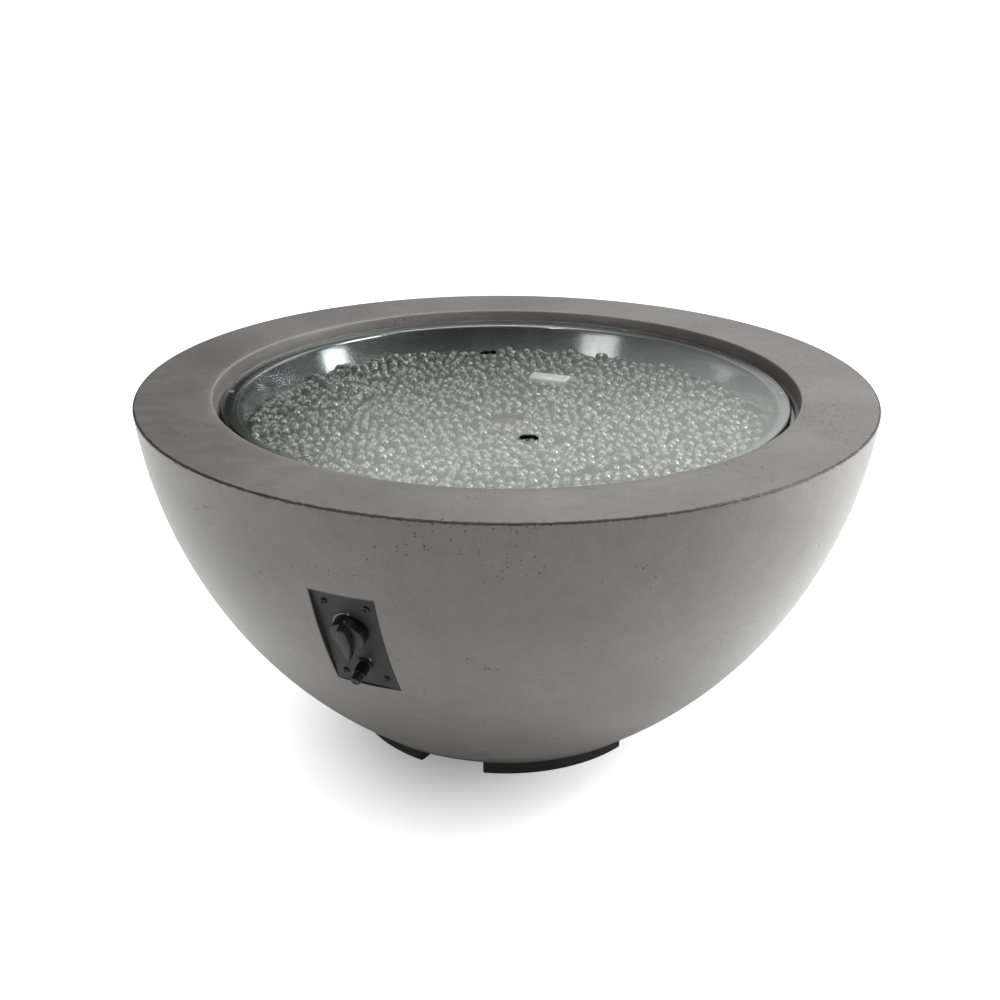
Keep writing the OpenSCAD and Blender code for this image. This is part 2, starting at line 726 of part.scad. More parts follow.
// Air mixer: a cup on the nipple with windows in its side and a jet seat below
module air_mixer() {
    mixer_wall = (mixer_d - nipple_d - 2 * fit) / 2;
    color(brass) difference() {
        translate([0, 0, mixer_low]) cylinder(d = mixer_d, h = mixer_l);
        translate([0, 0, nipple_low]) cylinder(d = nipple_d + 2 * fit, h = mixer_grip + over);
        translate([0, 0, mixer_low + mixer_wall]) cylinder(d = nipple_bore, h = mixer_l);
        translate([0, 0, mixer_low - over]) cylinder(d = port_d, h = mixer_l);
        for (a = [45, 135])
            rotate([0, 0, a]) translate([-mixer_d, -mixer_window_w / 2, mixer_low + mixer_l * 0.3])
                cube([2 * mixer_d, mixer_window_w, mixer_window_h]);
    }
}

// Feed elbow: a round corner from the mixer down and out to the front
module feed_elbow() {
    color(brass) difference() {
        union() {
            translate([0, 0, elbow_z]) cylinder(d = elbow_d, h = elbow_neck);
            translate([0, 0, elbow_z]) sphere(d = elbow_d);
            translate([0, 0, elbow_z]) rotate([90, 0, 0]) cylinder(d = elbow_d, h = elbow_reach);
        }
        translate([0, 0, elbow_z]) cylinder(d = port_d * 2, h = elbow_neck + over);
        translate([0, 0, elbow_z]) rotate([90, 0, 0]) cylinder(d = port_d * 2, h = elbow_reach + over);
    }
}

// Pilot hood: a folded cover, open at the back and below, on two tabs
module pilot_hood() {
    color(steel) difference() {
        union() {
            on_pilot(-hood_w / 2, 0, 0) cube([hood_w, hood_d, hood_h]);
            on_pilot(-hood_w / 2 - tab_l, 0, 0) cube([hood_w + 2 * tab_l, hood_d, hood_t]);
        }
        on_pilot(-hood_w / 2 + hood_t, hood_t, -over)
            cube([hood_w - 2 * hood_t, hood_d, hood_h - hood_t + over]);
    }
}

// Pilot bracket: an upright with a shelf, folded up from a foot behind the hood's front
module pilot_bracket() {
    bracket_x = hood_w - 2 * hood_t - 2 * slip;
    color(steel) difference() {
        union() {
            on_pilot(-bracket_x / 2, hood_t + slip, 0) cube([bracket_x, bracket_sheet, shelf_h]);
            on_pilot(-bracket_x / 2, hood_t + slip, shelf_h - bracket_sheet)
                cube([bracket_x, hood_d - hood_t - slip, bracket_sheet]);
        }
        on_pilot(-pilot_pitch, hood_d / 2, 0) cylinder(d = insulator_d + 4 * fit, h = hood_h);
        on_pilot(0, hood_d / 2, 0) cylinder(d = pilot_d + 4 * fit, h = hood_h);
        on_pilot(pilot_pitch, hood_d / 2, 0) cylinder(d = probe_d + 4 * fit, h = hood_h);
    }
}

// Pilot burner: a stepped jet with a slotted head, hung in the shelf by its collar
module pilot_burner() {
    head_l = 12;
    slot_w = 3;
    color(brass) difference() {
        union() {
            on_pilot(0, hood_d / 2, -pilot_foot) cylinder(d = pilot_d, h = pilot_foot + shelf_h + head_l);
            on_pilot(0, hood_d / 2, shelf_h) cylinder(d = pilot_flange_d, h = pilot_flange_h);
        }
        on_pilot(0, hood_d / 2, -pilot_foot / 2) cylinder(d = port_d, h = hood_h);
        on_pilot(-pilot_d, hood_d / 2 - slot_w / 2, shelf_h + pilot_flange_h + head_l / 3)
            cube([2 * pilot_d, slot_w, head_l]);
    }
}

module electrode_insulator() {
    stand = 14;
    color(ceramic_white) difference() {
        union() {
            on_pilot(-pilot_pitch, hood_d / 2, -pilot_foot / 2)
                cylinder(d = insulator_d, h = pilot_foot / 2 + shelf_h + stand);
            on_pilot(-pilot_pitch, hood_d / 2, shelf_h) cylinder(d = insulator_d + 4, h = pilot_flange_h);
        }
        on_pilot(-pilot_pitch, hood_d / 2, -pilot_foot)
            cylinder(d = electrode_d + 2 * fit, h = hood_h + pilot_foot);
    }
}

// Spark electrode: a rod through the insulator with its tip turned towards the pilot
module spark_electrode() {
    rod_top = shelf_h + 18;
    tip_l = pilot_pitch - pilot_d / 2 - 3;
    color(steel) union() {
        on_pilot(-pilot_pitch, hood_d / 2, -pilot_foot) cylinder(d = electrode_d, h = pilot_foot + rod_top);
        on_pilot(-pilot_pitch, hood_d / 2, rod_top) sphere(d = electrode_d);
        on_pilot(-pilot_pitch, hood_d / 2, rod_top) rotate([0, 90, 0]) cylinder(d = electrode_d, h = tip_l);
    }
}

module thermocouple() {
    probe_top = shelf_h + 16;
    color(copper) union() {
        on_pilot(pilot_pitch, hood_d / 2, -pilot_foot) cylinder(d = probe_d, h = pilot_foot + probe_top);
        on_pilot(pilot_pitch, hood_d / 2, probe_top) sphere(d = probe_d);
        on_pilot(pilot_pitch, hood_d / 2, shelf_h) cylinder(d = probe_d + 4, h = pilot_flange_h);
    }
}

module control_panel() {
    color(panel_black) on_panel(0, 0, -panel_t) difference() {
        translate([-panel_w / 2, -panel_h / 2, 0]) cube([panel_w, panel_h, panel_t]);
        for (u = [-screw_u, screw_u], v = [-screw_v, screw_v])
            translate([u, v, -over]) cylinder(d = screw_d + 8 * fit, h = panel_t + 2 * over);
        translate([0, knob_v, -over]) cylinder(d = collar_d + 4 * fit, h = panel_t + 2 * over);
        translate([igniter_u, -igniter_v, -over]) cylinder(d = barrel_d + 4 * fit, h = panel_t + 2 * over);
    }
}

module panel_screws() {
    color(plastic_black) for (u = [-screw_u, screw_u], v = [-screw_v, screw_v])
        on_panel(u, v, 0) pan_screw(screw_head_d, screw_head_h, screw_d, screw_l);
}

module panel_inserts() {
    color(brass) for (u = [-screw_u, screw_u], v = [-screw_v, screw_v])
        on_panel(u, v, -panel_t - insert_l) difference() {
            cylinder(d = insert_d, h = insert_l);
            translate([0, 0, insert_l + panel_t - screw_l - slip])
                cylinder(d = screw_d + 2 * fit, h = screw_l + over);
        }
}

// Gas valve: a block with a threaded collar, three ports and a boss for the magnet unit
module gas_valve() {
    color(brass) on_panel(0, knob_v, 0) difference() {
        union() {
            translate([-valve_w / 2, -valve_w / 2, valve_back]) cube([valve_w, valve_w, valve_l]);
            translate([0, 0, -panel_t - over]) cylinder(d = collar_d, h = panel_t + collar_h + over);
            translate([0, 0, boss_back]) cylinder(d = boss_d, h = boss_l + over);
            translate([valve_w / 2 - over, 0, -panel_t - port_back]) rotate([0, 90, 0])
                cylinder(d = hose_d, h = port_l + over);
            translate([inlet_u, -valve_w / 2 + over, -panel_t - port_back]) rotate([90, 0, 0])
                cylinder(d = hose_d, h = port_l + over);
            translate([-valve_w / 2 + over, pilot_port_v, -panel_t - port_back]) rotate([0, -90, 0])
                cylinder(d = pilot_port_d, h = pilot_port_l + over);
        }
        translate([0, 0, boss_back]) cylinder(d = spindle_d + 2 * fit, h = collar_h - boss_back + over);
        translate([0, 0, chamber_low])
            cylinder(d = chamber_d, h = spindle_low - chamber_low + plug_l + slip);
    }
}

module valve_nut() {
    color(steel) on_panel(0, knob_v, 0) hex_nut(valve_nut_d, valve_nut_t, collar_d + 2 * fit);
}

module magnet_unit() {
    color(steel) on_panel(0, knob_v, magnet_back) union() {
        cylinder(d = magnet_d, h = magnet_l);
        translate([0, 0, magnet_l - magnet_hex_t]) cylinder(d = boss_d, h = magnet_hex_t, $fn = 6);
    }
}

// Plunger: a head under the spindle and a stem that reaches the magnet unit
module valve_plunger() {
    stem_low = boss_back + knob_push + slip;
    color(steel) on_panel(0, knob_v, 0) union() {
        translate([0, 0, spindle_low - plunger_head_t]) cylinder(d = plunger_head_d, h = plunger_head_t);
        translate([0, 0, stem_low]) cylinder(d = plunger_d, h = spindle_low - plunger_head_t - stem_low);
    }
}

module plunger_spring() {
    spring_l = spindle_low - plunger_head_t - chamber_low;
    color(steel) on_panel(0, knob_v, chamber_low)
        coil(plunger_d + 2 * spring_wire + 2 * slip, spring_wire, spring_l, 5);
}

// Spindle: a plug in the valve and a shaft with a flat for the knob
module valve_spindle() {
    color(steel) on_panel(0, knob_v, 0) difference() {
        union() {
            translate([0, 0, spindle_low]) cylinder(d = spindle_d, h = spindle_top - spindle_low);
            translate([0, 0, spindle_low]) cylinder(d = plug_d, h = plug_l);
        }
        translate([-spindle_d, spindle_d / 2 - flat_depth, hub_roof])
            cube([2 * spindle_d, spindle_d, knob_h]);
    }
}

// Outline of the grip: two arcs that meet in points, with the upper point cut square
module grip_outline() {
    lens_l = 2 * grip_reach + grip_tip_cut;
    arc_r = (lens_l * lens_l + grip_w * grip_w) / (4 * grip_w);
    intersection() {
        translate([arc_r - grip_w / 2, 0]) circle(r = arc_r, $fn = 180);
        translate([grip_w / 2 - arc_r, 0]) circle(r = arc_r, $fn = 180);
        translate([-grip_w, -grip_reach]) square([2 * grip_w, grip_l]);
    }
}

// Knob: a tapered skirt over the valve nut and a bar grip that points past the skirt
module valve_knob() {
    color(plastic_black) on_panel(0, knob_v, 0) difference() {
        union() {
            translate([0, 0, skirt_lift]) cylinder(d1 = knob_d, d2 = knob_d - 2 * skirt_taper, h = skirt_h);
            translate([0, 0, skirt_lift + skirt_h / 2])
                linear_extrude(knob_h - skirt_lift - skirt_h / 2) grip_outline();
        }
        translate([0, 0, skirt_lift - over])
            cylinder(d = valve_nut_d + 2 * nut_room, h = hub_roof - skirt_lift + over);
        difference() {
            translate([0, 0, skirt_lift])
                cylinder(d = spindle_d + 2 * fit, h = spindle_top + fit - skirt_lift);
            translate([-spindle_d, spindle_d / 2 - flat_depth + fit, 0])
                cube([2 * spindle_d, spindle_d, knob_h]);
        }
    }
}

// Igniter barrel: a flanged sleeve through the panel with a floor behind the button's spring
module igniter_barrel() {
    color(plastic_black) on_panel(igniter_u, -igniter_v, 0) difference() {
        union() {
            translate([0, 0, -panel_t - barrel_back])
                cylinder(d = barrel_d, h = panel_t + barrel_back + barrel_l);
            cylinder(d = barrel_flange_d, h = flange_t);
        }
        translate([0, 0, -panel_t - barrel_back + barrel_wall_back])
            cylinder(d = barrel_bore, h = panel_t + barrel_back + barrel_l);
    }
}

module igniter_nut() {
    color(plastic_black) on_panel(igniter_u, -igniter_v, -panel_t - igniter_nut_t)
        hex_nut(igniter_nut_d, igniter_nut_t, barrel_d + 2 * fit);
}

// Button: a ribbed cap that slides in the barrel
module igniter_button() {
    rib_count = 12;
    rib_d = 1.2;
    color(plastic_black) on_panel(igniter_u, -igniter_v, 0) difference() {
        translate([0, 0, button_low]) cylinder(d = button_d, h = barrel_l + button_l - button_low);
        for (i = [0 : rib_count - 1])
            rotate([0, 0, 360 * i / rib_count]) translate([button_d / 2, 0, barrel_l + button_push * 0.2])
                cylinder(d = rib_d, h = button_l, $fn = 16);
    }
}

module button_spring() {
    spring_low = -panel_t - barrel_back + barrel_wall_back;
    color(steel) on_panel(igniter_u, -igniter_v, spring_low)
        coil(button_d - 2 * spring_wire - 2, spring_wire, button_low - spring_low, 6);
}

module spark_module() {
    color(plastic_black) on_panel(igniter_u, -igniter_v, -panel_t - module_l) union() {
        cylinder(d = module_d, h = module_l - barrel_back);
        translate([0, 0, -terminal_l]) cylinder(d = terminal_d, h = terminal_l + over);
    }
}

module supply_hose() { color(steel) tube_along(supply_route, hose_d, 12); }
module inlet_hose() { color(steel) tube_along(inlet_route, hose_d, 12); }
module pilot_tube() { color(steel) tube_along(pilot_route, pilot_tube_d, 8); }
module thermocouple_lead() { color(copper) tube_along(thermocouple_route, lead_d, 8); }
module igniter_lead() { color(lead_black) tube_along(igniter_route, lead_d, 8); }

module inlet_bracket() {
    color(steel) translate([0, 0, slab_z]) difference() {
        translate([-bracket_l / 2, -bracket_w / 2, 0]) cube([bracket_l, bracket_w, bracket_t]);
        translate([0, 0, -over]) cylinder(d = inlet_d + 4 * fit, h = bracket_t + 2 * over);
        for (x = [-bracket_screw_x, bracket_screw_x])
            translate([x, 0, -over]) cylinder(d = bracket_screw_d + 8 * fit, h = bracket_t + 2 * over);
    }
}

module bracket_screws() {
    color(steel) for (x = [-bracket_screw_x, bracket_screw_x])
        translate([x, 0, slab_z + bracket_t])
            pan_screw(bracket_screw_d * 1.8, bracket_screw_d * 0.64, bracket_screw_d, bracket_screw_l);
}

// Inlet: a flare nose and thread below, a hexagon under the bracket and a neck for the hose above
module inlet_fitting() {
    hex_low = slab_z - inlet_hex_t;
    thread_low = hex_low - inlet_l;
    stud_top = slab_z + bracket_t + inlet_stud;
    color(brass) difference() {
        union() {
            translate([0, 0, thread_low - inlet_nose])
                cylinder(d1 = inlet_bore + 2, d2 = inlet_d - 2, h = inlet_nose);
            translate([0, 0, thread_low]) cylinder(d = inlet_d, h = inlet_l);
            translate([0, 0, hex_low]) cylinder(d = inlet_nut_d, h = inlet_hex_t, $fn = 6);
            translate([0, 0, slab_z]) cylinder(d = inlet_d, h = stud_top - slab_z);
            translate([0, 0, stud_top]) cylinder(d = hose_d, h = inlet_neck);
        }
        translate([0, 0, thread_low - inlet_nose - over])
            cylinder(d = inlet_bore, h = inlet_top - thread_low + inlet_nose + 2 * over);
    }
}

module fitting_nut() {
    color(brass) translate([0, 0, slab_z + bracket_t]) hex_nut(inlet_nut_d, inlet_nut_t, inlet_d + 2 * fit);
}

bowl();
foot_front();
foot_right();
foot_back();
foot_left();
foot_bolts();
foot_inserts();
burner_pan();
fire_glass();
glass_cover();
cover_bumpers();
ring_burner();
burner_nipple();
nipple_nuts();
air_mixer();
feed_elbow();
pilot_hood();
pilot_bracket();
pilot_burner();
electrode_insulator();
spark_electrode();
thermocouple();
control_panel();
panel_screws();
panel_inserts();
gas_valve();
valve_nut();
magnet_unit();
valve_plunger();
plunger_spring();
valve_spindle();
valve_knob();
igniter_barrel();
igniter_nut();
igniter_button();
button_spring();
spark_module();
supply_hose();
inlet_hose();
pilot_tube();
thermocouple_lead();
igniter_lead();
inlet_bracket();
bracket_screws();
inlet_fitting();
fitting_nut();
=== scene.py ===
import functools
import json
import math

import bmesh
import bpy
import numpy as np
from mathutils import Matrix, Vector


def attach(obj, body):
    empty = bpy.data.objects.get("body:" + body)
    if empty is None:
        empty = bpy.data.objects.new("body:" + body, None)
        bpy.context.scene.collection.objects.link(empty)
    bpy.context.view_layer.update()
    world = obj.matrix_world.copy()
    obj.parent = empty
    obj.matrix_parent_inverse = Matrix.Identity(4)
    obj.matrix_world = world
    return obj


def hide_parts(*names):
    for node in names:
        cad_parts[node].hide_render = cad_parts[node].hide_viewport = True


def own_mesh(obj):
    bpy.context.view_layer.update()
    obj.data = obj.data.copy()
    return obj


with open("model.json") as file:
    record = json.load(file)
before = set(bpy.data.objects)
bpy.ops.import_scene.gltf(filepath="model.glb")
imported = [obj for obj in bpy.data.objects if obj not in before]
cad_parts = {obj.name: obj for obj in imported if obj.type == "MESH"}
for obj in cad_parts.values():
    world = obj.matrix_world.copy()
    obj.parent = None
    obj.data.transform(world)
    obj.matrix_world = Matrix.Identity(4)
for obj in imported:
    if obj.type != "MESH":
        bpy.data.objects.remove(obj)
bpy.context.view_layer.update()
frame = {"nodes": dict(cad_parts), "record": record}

# Sizes of the object in metres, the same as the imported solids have
RIM_Z = 0.521
RIM_R = 0.5335
BASE_Z = 0.035
BASE_R = 0.254
SIDE_R = 0.675
WALL = 0.024
SLAB_Z = 0.075
RIM_LOW_Z = 0.461
OPENING_R = 0.424
LEDGE_Z = 0.4985
LEDGE_R = 0.3995
VENT_R = 0.080
RIM_EDGE = 0.0025

FOOT_OUT_R = 0.232
FOOT_IN_R = 0.172
FOOT_SPAN = math.radians(56)
FOOT_FIRST = math.radians(20 - 90)
FOOT_STEP = math.radians((360 - 56 - 24) / 3)
FOOT_BOLT_R = 0.202
FOOT_HEAD_R = 0.0068

COVER_LOW_Z = 0.502
COVER_TOP_Z = 0.508
COVER_R = 0.412
FINGER_R = 0.0125
FINGER_REACH = 0.208
FINGER_TURN = math.radians(98)

FLANGE_Z = 0.500
FLANGE_R = 0.418
PAN_R = 0.390
PAN_FLOOR_R = 0.366
PAN_FLOOR_Z = 0.425
PAN_SHEET = 0.0015
PAN_BEND = 0.006
PAN_HOLE_R = 0.0118

BURNER_Z = 0.444
BURNER_TUBE_R = 0.010
BURNER_RINGS = (0.120, 0.238)
SPOKE_R = 0.008
HUB_R = 0.022
HUB_TOP_Z = 0.456

HOOD_REACH = 0.179
HOOD_TURN = math.radians(21)
HOOD_W = 0.063
HOOD_D = 0.027
HOOD_H = 0.047
HOOD_SHEET = 0.0012

PANEL_TURN = math.radians(23)
PANEL_TILT = math.radians(22)
PANEL_Z = 0.321
PANEL_RECESS = 0.008
PANEL_W = 0.087
PANEL_H = 0.164
PANEL_T = 0.002
PANEL_GAP = 0.0015
SCREW_U = 0.029
SCREW_V = 0.064
SCREW_HEAD_R = 0.0045
KNOB_V = 0.022
KNOB_R = 0.024
KNOB_FRONT = 0.026
KNOB_LIFT = 0.004
KNOB_ROOF = 0.009
KNOB_HOLLOW_R = 0.0148
SKIRT_H = 0.012
SKIRT_TAPER = 0.0015
GRIP_W = 0.015
GRIP_L = 0.055
GRIP_REACH = 0.033
GRIP_TIP_CUT = 0.002
IGNITER_U = 0.003
IGNITER_V = -0.043
BARREL_R = 0.0085
BARREL_L = 0.020
BUTTON_R = 0.0065
BUTTON_L = 0.011
SPRING_WIRE_R = 0.0006

# The side is an arc of SIDE_R through the edge of the flat bottom and the edge of the rim
_chord_r = RIM_R - BASE_R
_chord_z = RIM_Z - BASE_Z
_chord = math.hypot(_chord_r, _chord_z)
_leg = math.sqrt(SIDE_R ** 2 - _chord ** 2 / 4)
SIDE_CENTRE_R = (RIM_R + BASE_R) / 2 - _leg * _chord_z / _chord
SIDE_CENTRE_Z = (RIM_Z + BASE_Z) / 2 + _leg * _chord_r / _chord


# Mesh tools


def grid_faces(rows, columns, close_rows=False):
    """Quads of a grid whose point in row i and column j has the index i times columns plus j.

    Its columns always close up to a ring, and its rows only where that is asked for.
    """
    i = np.arange(rows if close_rows else rows - 1)[:, None]
    j = np.arange(columns)[None, :]
    i_next = (i + 1) % rows
    j_next = (j + 1) % columns
    corners = (i * columns + j, i * columns + j_next, i_next * columns + j_next, i_next * columns + j)
    return np.stack(np.broadcast_arrays(*corners), axis=-1).reshape(-1, 4)


def make_piece(name, shape, material, place=None, sharp_degrees=35.0, outward=True):
    """Mesh object of a shape, carried by a function where one is given, with edges sharp past an angle.

    A shape is an array of points and a list of face arrays.
    """
    points, faces = shape
    points = np.asarray(place(points) if place else points).reshape(-1, 3)
    mesh = bpy.data.meshes.new(name)
    mesh.from_pydata(points.tolist(), [], [face for group in faces for face in group.tolist()])
    mesh.validate()
    if outward:
        turn_outward(mesh)
    shade(mesh, sharp_degrees)
    mesh.materials.append(material)
    piece = bpy.data.objects.new(name, mesh)
    bpy.context.scene.collection.objects.link(piece)
    return piece


def turn_outward(mesh):
    """Merges doubles and turns the faces of closed shells outwards."""
    work = bmesh.new()
    work.from_mesh(mesh)
    bmesh.ops.remove_doubles(work, verts=work.verts, dist=1e-6)
    bmesh.ops.recalc_face_normals(work, faces=work.faces)
    work.to_mesh(mesh)
    work.free()


def shade(mesh, sharp_degrees):
    """Smooth shading with sharp edges past an angle."""
    mesh.shade_smooth()
    mesh.set_sharp_from_angle(angle=math.radians(sharp_degrees))


def arc_points(centre, radius, start, end, steps):
    """Points on a circle about a centre, at equal angles in degrees from start to end."""
    angle = np.radians(np.linspace(start, end, steps + 1))
    return np.stack([centre[0] + radius * np.cos(angle), centre[1] + radius * np.sin(angle)], axis=1)


def run_points(a, b, steps):
    """Points on a straight run from a to b, without the last one."""
    t = np.linspace(0, 1, steps, endpoint=False)[:, None]
    return np.asarray(a) * (1 - t) + np.asarray(b) * t


def runs(points, steps):
    """Straight runs through points in turn, each with its own number of steps, without the last point."""
    return np.concatenate([run_points(a, b, n) for a, b, n in zip(points, points[1:], steps)])


def quarter(count):
    """Angles of a quarter turn."""
    return np.linspace(0, math.pi / 2, count)


def polar(reach, angle):
    """Place in plan at a distance and an angle from the axis."""
    return reach * np.array([math.cos(angle), math.sin(angle), 0])


def at_height(outline, height):
    """A flat outline at one height."""
    return np.column_stack([outline, np.full(len(outline), height)])


def rounded_outline(corners, radii, steps):
    """Closed outline: each corner becomes an arc of its radius, tangent to the two sides that meet there."""
    corners = np.asarray(corners, float)
    count = len(corners)
    parts = []
    for k in range(count):
        here = corners[k]
        back = corners[k - 1] - here
        ahead = corners[(k + 1) % count] - here
        back = back / np.linalg.norm(back)
        ahead = ahead / np.linalg.norm(ahead)
        half = math.acos(np.clip(back @ ahead, -1, 1)) / 2
        reach = radii[k] / math.tan(half)
        middle = here + (back + ahead) / np.linalg.norm(back + ahead) * radii[k] / math.sin(half)
        first = here + back * reach - middle
        last = here + ahead * reach - middle
        turn = math.atan2(first[0] * last[1] - first[1] * last[0], first @ last)
        angle = math.atan2(first[1], first[0]) + turn * np.linspace(0, 1, steps + 1)
        parts.append(middle + radii[k] * np.stack([np.cos(angle), np.sin(angle)], axis=1))
    return np.concatenate(parts)


def rounded_rectangle(w, h, corner, steps):
    """Rectangle about the middle with half sides w and h and round corners."""
    return rounded_outline([(-w, -h), (w, -h), (w, h), (-w, h)], [corner] * 4, steps)


def revolve(profile, segments, closed_profile=False):
    """A profile of (radius, height) carried round Z: a point goes to (r cos a, r sin a, z) at each angle a.

    An end of the profile that lies on the axis becomes one pole with a fan of triangles.
    """
    profile = np.asarray(profile, float)
    on_axis = profile[:, 0] < 1e-9
    rings = profile[~on_axis]
    angle = 2 * math.pi * np.arange(segments) / segments
    points = np.stack([
        rings[:, 0:1] * np.cos(angle),
        rings[:, 0:1] * np.sin(angle),
        np.repeat(rings[:, 1:2], segments, axis=1)], axis=-1).reshape(-1, 3)
    faces = [grid_faces(len(rings), segments, closed_profile)]
    around = np.arange(segments)
    for end, ring in ((0, 0), (-1, len(rings) - 1)):
        if on_axis[end]:
            pole = len(points)
            points = np.vstack([points, [[0, 0, profile[end, 1]]]])
            base = ring * segments
            fan = np.stack([base + around, base + (around + 1) % segments, np.full(segments, pole)], axis=1)
            faces.append(fan)
    return points, faces


def cylinder(radius, low, high, segments):
    """Closed round bar on the Z axis."""
    return revolve([(0, low), (radius, low), (radius, high), (0, high)], segments)


def loft(rows):
    """Closed outlines, one per row, joined in order, with flat caps over the first and the last."""
    rows = np.asarray(rows, float)
    count, size = rows.shape[:2]
    around = np.arange(size)[None, :]
    return rows.reshape(-1, 3), [grid_faces(count, size), around[:, ::-1], around + (count - 1) * size]


def copies(shape, places):
    """Copies of a shape as one, each carried by its own function."""
    points, faces = shape
    carried = np.concatenate([place(points) for place in places])
    return carried, [np.concatenate([f + k * len(points) for k in range(len(places))]) for f in faces]


def moved(shift):
    """Function that moves points."""
    return lambda points: points + shift


def cut(piece, shape, place=None):
    """Takes a closed shape out of a piece."""
    tool = make_piece("cutter", shape, piece.data.materials[0], place)
    modifier = piece.modifiers.new("cut", "BOOLEAN")
    modifier.operation = "DIFFERENCE"
    modifier.solver = "EXACT"
    modifier.object = tool
    graph = bpy.context.evaluated_depsgraph_get()
    graph.update()
    done = bpy.data.meshes.new_from_object(piece.evaluated_get(graph))
    piece.modifiers.remove(modifier)
    piece.data = done
    bpy.data.objects.remove(tool)


def add_piece(name, shape, body, slot, *nodes, finish=None, place=None, cuts=(), sharp=35.0, outward=True):
    """Piece of a shape less its cuts, on its body, with its finish and the solids that it stands for."""
    piece = make_piece(name, shape, finishes[finish or slot], place, sharp, outward)
    for tool, tool_place in cuts:
        cut(piece, tool, tool_place)
    if cuts:
        shade(piece.data, sharp)
    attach(piece, body)
    if nodes:
        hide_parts(*nodes)
    return piece


def box_shape(low, high):
    """Closed box between two corners."""
    ends = np.array([low, high], float)
    pick = np.array([[0, 0, 0], [1, 0, 0], [1, 1, 0], [0, 1, 0], [0, 0, 1], [1, 0, 1], [1, 1, 1], [0, 1, 1]])
    faces = [[0, 3, 2, 1], [4, 5, 6, 7], [0, 1, 5, 4], [1, 2, 6, 5], [2, 3, 7, 6], [3, 0, 4, 7]]
    return ends[pick, [0, 1, 2]], [np.array(faces)]


# Frames of the panel and of the pilot

PANEL_SIDE = np.array([math.cos(PANEL_TURN), -math.sin(PANEL_TURN), 0])
PANEL_UP = np.array([
    -math.sin(PANEL_TILT) * math.sin(PANEL_TURN),
    -math.sin(PANEL_TILT) * math.cos(PANEL_TURN),
    math.cos(PANEL_TILT)])
PANEL_OUT = np.array([
    -math.cos(PANEL_TILT) * math.sin(PANEL_TURN),
    -math.cos(PANEL_TILT) * math.cos(PANEL_TURN),
    -math.sin(PANEL_TILT)])
_panel_r = SIDE_CENTRE_R + math.sqrt(SIDE_R ** 2 - (PANEL_Z - SIDE_CENTRE_Z) ** 2)
PANEL_PLACE = np.array([
    -_panel_r * math.sin(PANEL_TURN), -_panel_r * math.cos(PANEL_TURN), PANEL_Z]) - PANEL_RECESS * PANEL_OUT


def on_panel(points, u=0.0, v=0.0):
    """Points in the panel's frame, right, up and out of it, moved by u to the right and v up."""
    points = np.asarray(points, float) + np.array([u, v, 0])
    return PANEL_PLACE + points @ np.stack([PANEL_SIDE, PANEL_UP, PANEL_OUT])


def at_panel(u, v):
    """Function that carries points to a place on the panel."""
    return lambda points: on_panel(points, u, v)


HOOD_ACROSS = np.array([math.cos(HOOD_TURN), -math.sin(HOOD_TURN), 0])
HOOD_AWAY = np.array([math.sin(HOOD_TURN), math.cos(HOOD_TURN), 0])
PILOT_PLACE = HOOD_REACH * HOOD_AWAY + np.array([0, 0, PAN_FLOOR_Z])


def at_pilot(points):
    """Points in the pilot's frame: x across the hood, y away from the middle, z up from the pan's floor."""
    return np.asarray(points, float) @ np.stack([HOOD_ACROSS, HOOD_AWAY, (0, 0, 1)]) + PILOT_PLACE


# Node tools


class Nodes:
    """Nodes of one tree: adds them by type and links what is given as a socket."""

    def __init__(self, tree):
        self.tree = tree
        tree.nodes.clear()

    def add(self, kind, inputs=None, **settings):
        node = self.tree.nodes.new(kind)
        for key, value in settings.items():
            setattr(node, key, value)
        for key, value in (inputs or {}).items():
            self.put(node.inputs[key], value)
        return node

    def put(self, socket, value):
        if isinstance(value, bpy.types.NodeSocket):
            self.tree.links.new(value, socket)
        else:
            socket.default_value = value

    def math(self, operation, a, b=0.0, c=0.0):
        return self.add("ShaderNodeMath", {0: a, 1: b, 2: c}, operation=operation).outputs[0]

    def times(self, *values):
        return functools.reduce(functools.partial(self.math, "MULTIPLY"), values)

    def plus(self, *values):
        return functools.reduce(functools.partial(self.math, "ADD"), values)

    def vector(self, operation, a, b=(0.0, 0.0, 0.0)):
        node = self.add("ShaderNodeVectorMath", {0: a, 1: b}, operation=operation)
        return node.outputs["Value" if operation in ("LENGTH", "DISTANCE", "DOT_PRODUCT") else "Vector"]

    def split(self, vector):
        return self.add("ShaderNodeSeparateXYZ", {"Vector": vector}).outputs[0:3]

    def spread(self, value, low, high, to_low=0.0, to_high=1.0, smooth=False):
        numbers = dict(enumerate((value, low, high, to_low, to_high)))
        kind = "SMOOTHSTEP" if smooth else "LINEAR"
        return self.add("ShaderNodeMapRange", numbers, clamp=True, interpolation_type=kind).outputs["Result"]

    def light_path(self):
        return self.add("ShaderNodeLightPath").outputs

    def either(self, factor, a, b):
        return self.add("ShaderNodeMixShader", {0: factor, 1: a, 2: b}).outputs[0]


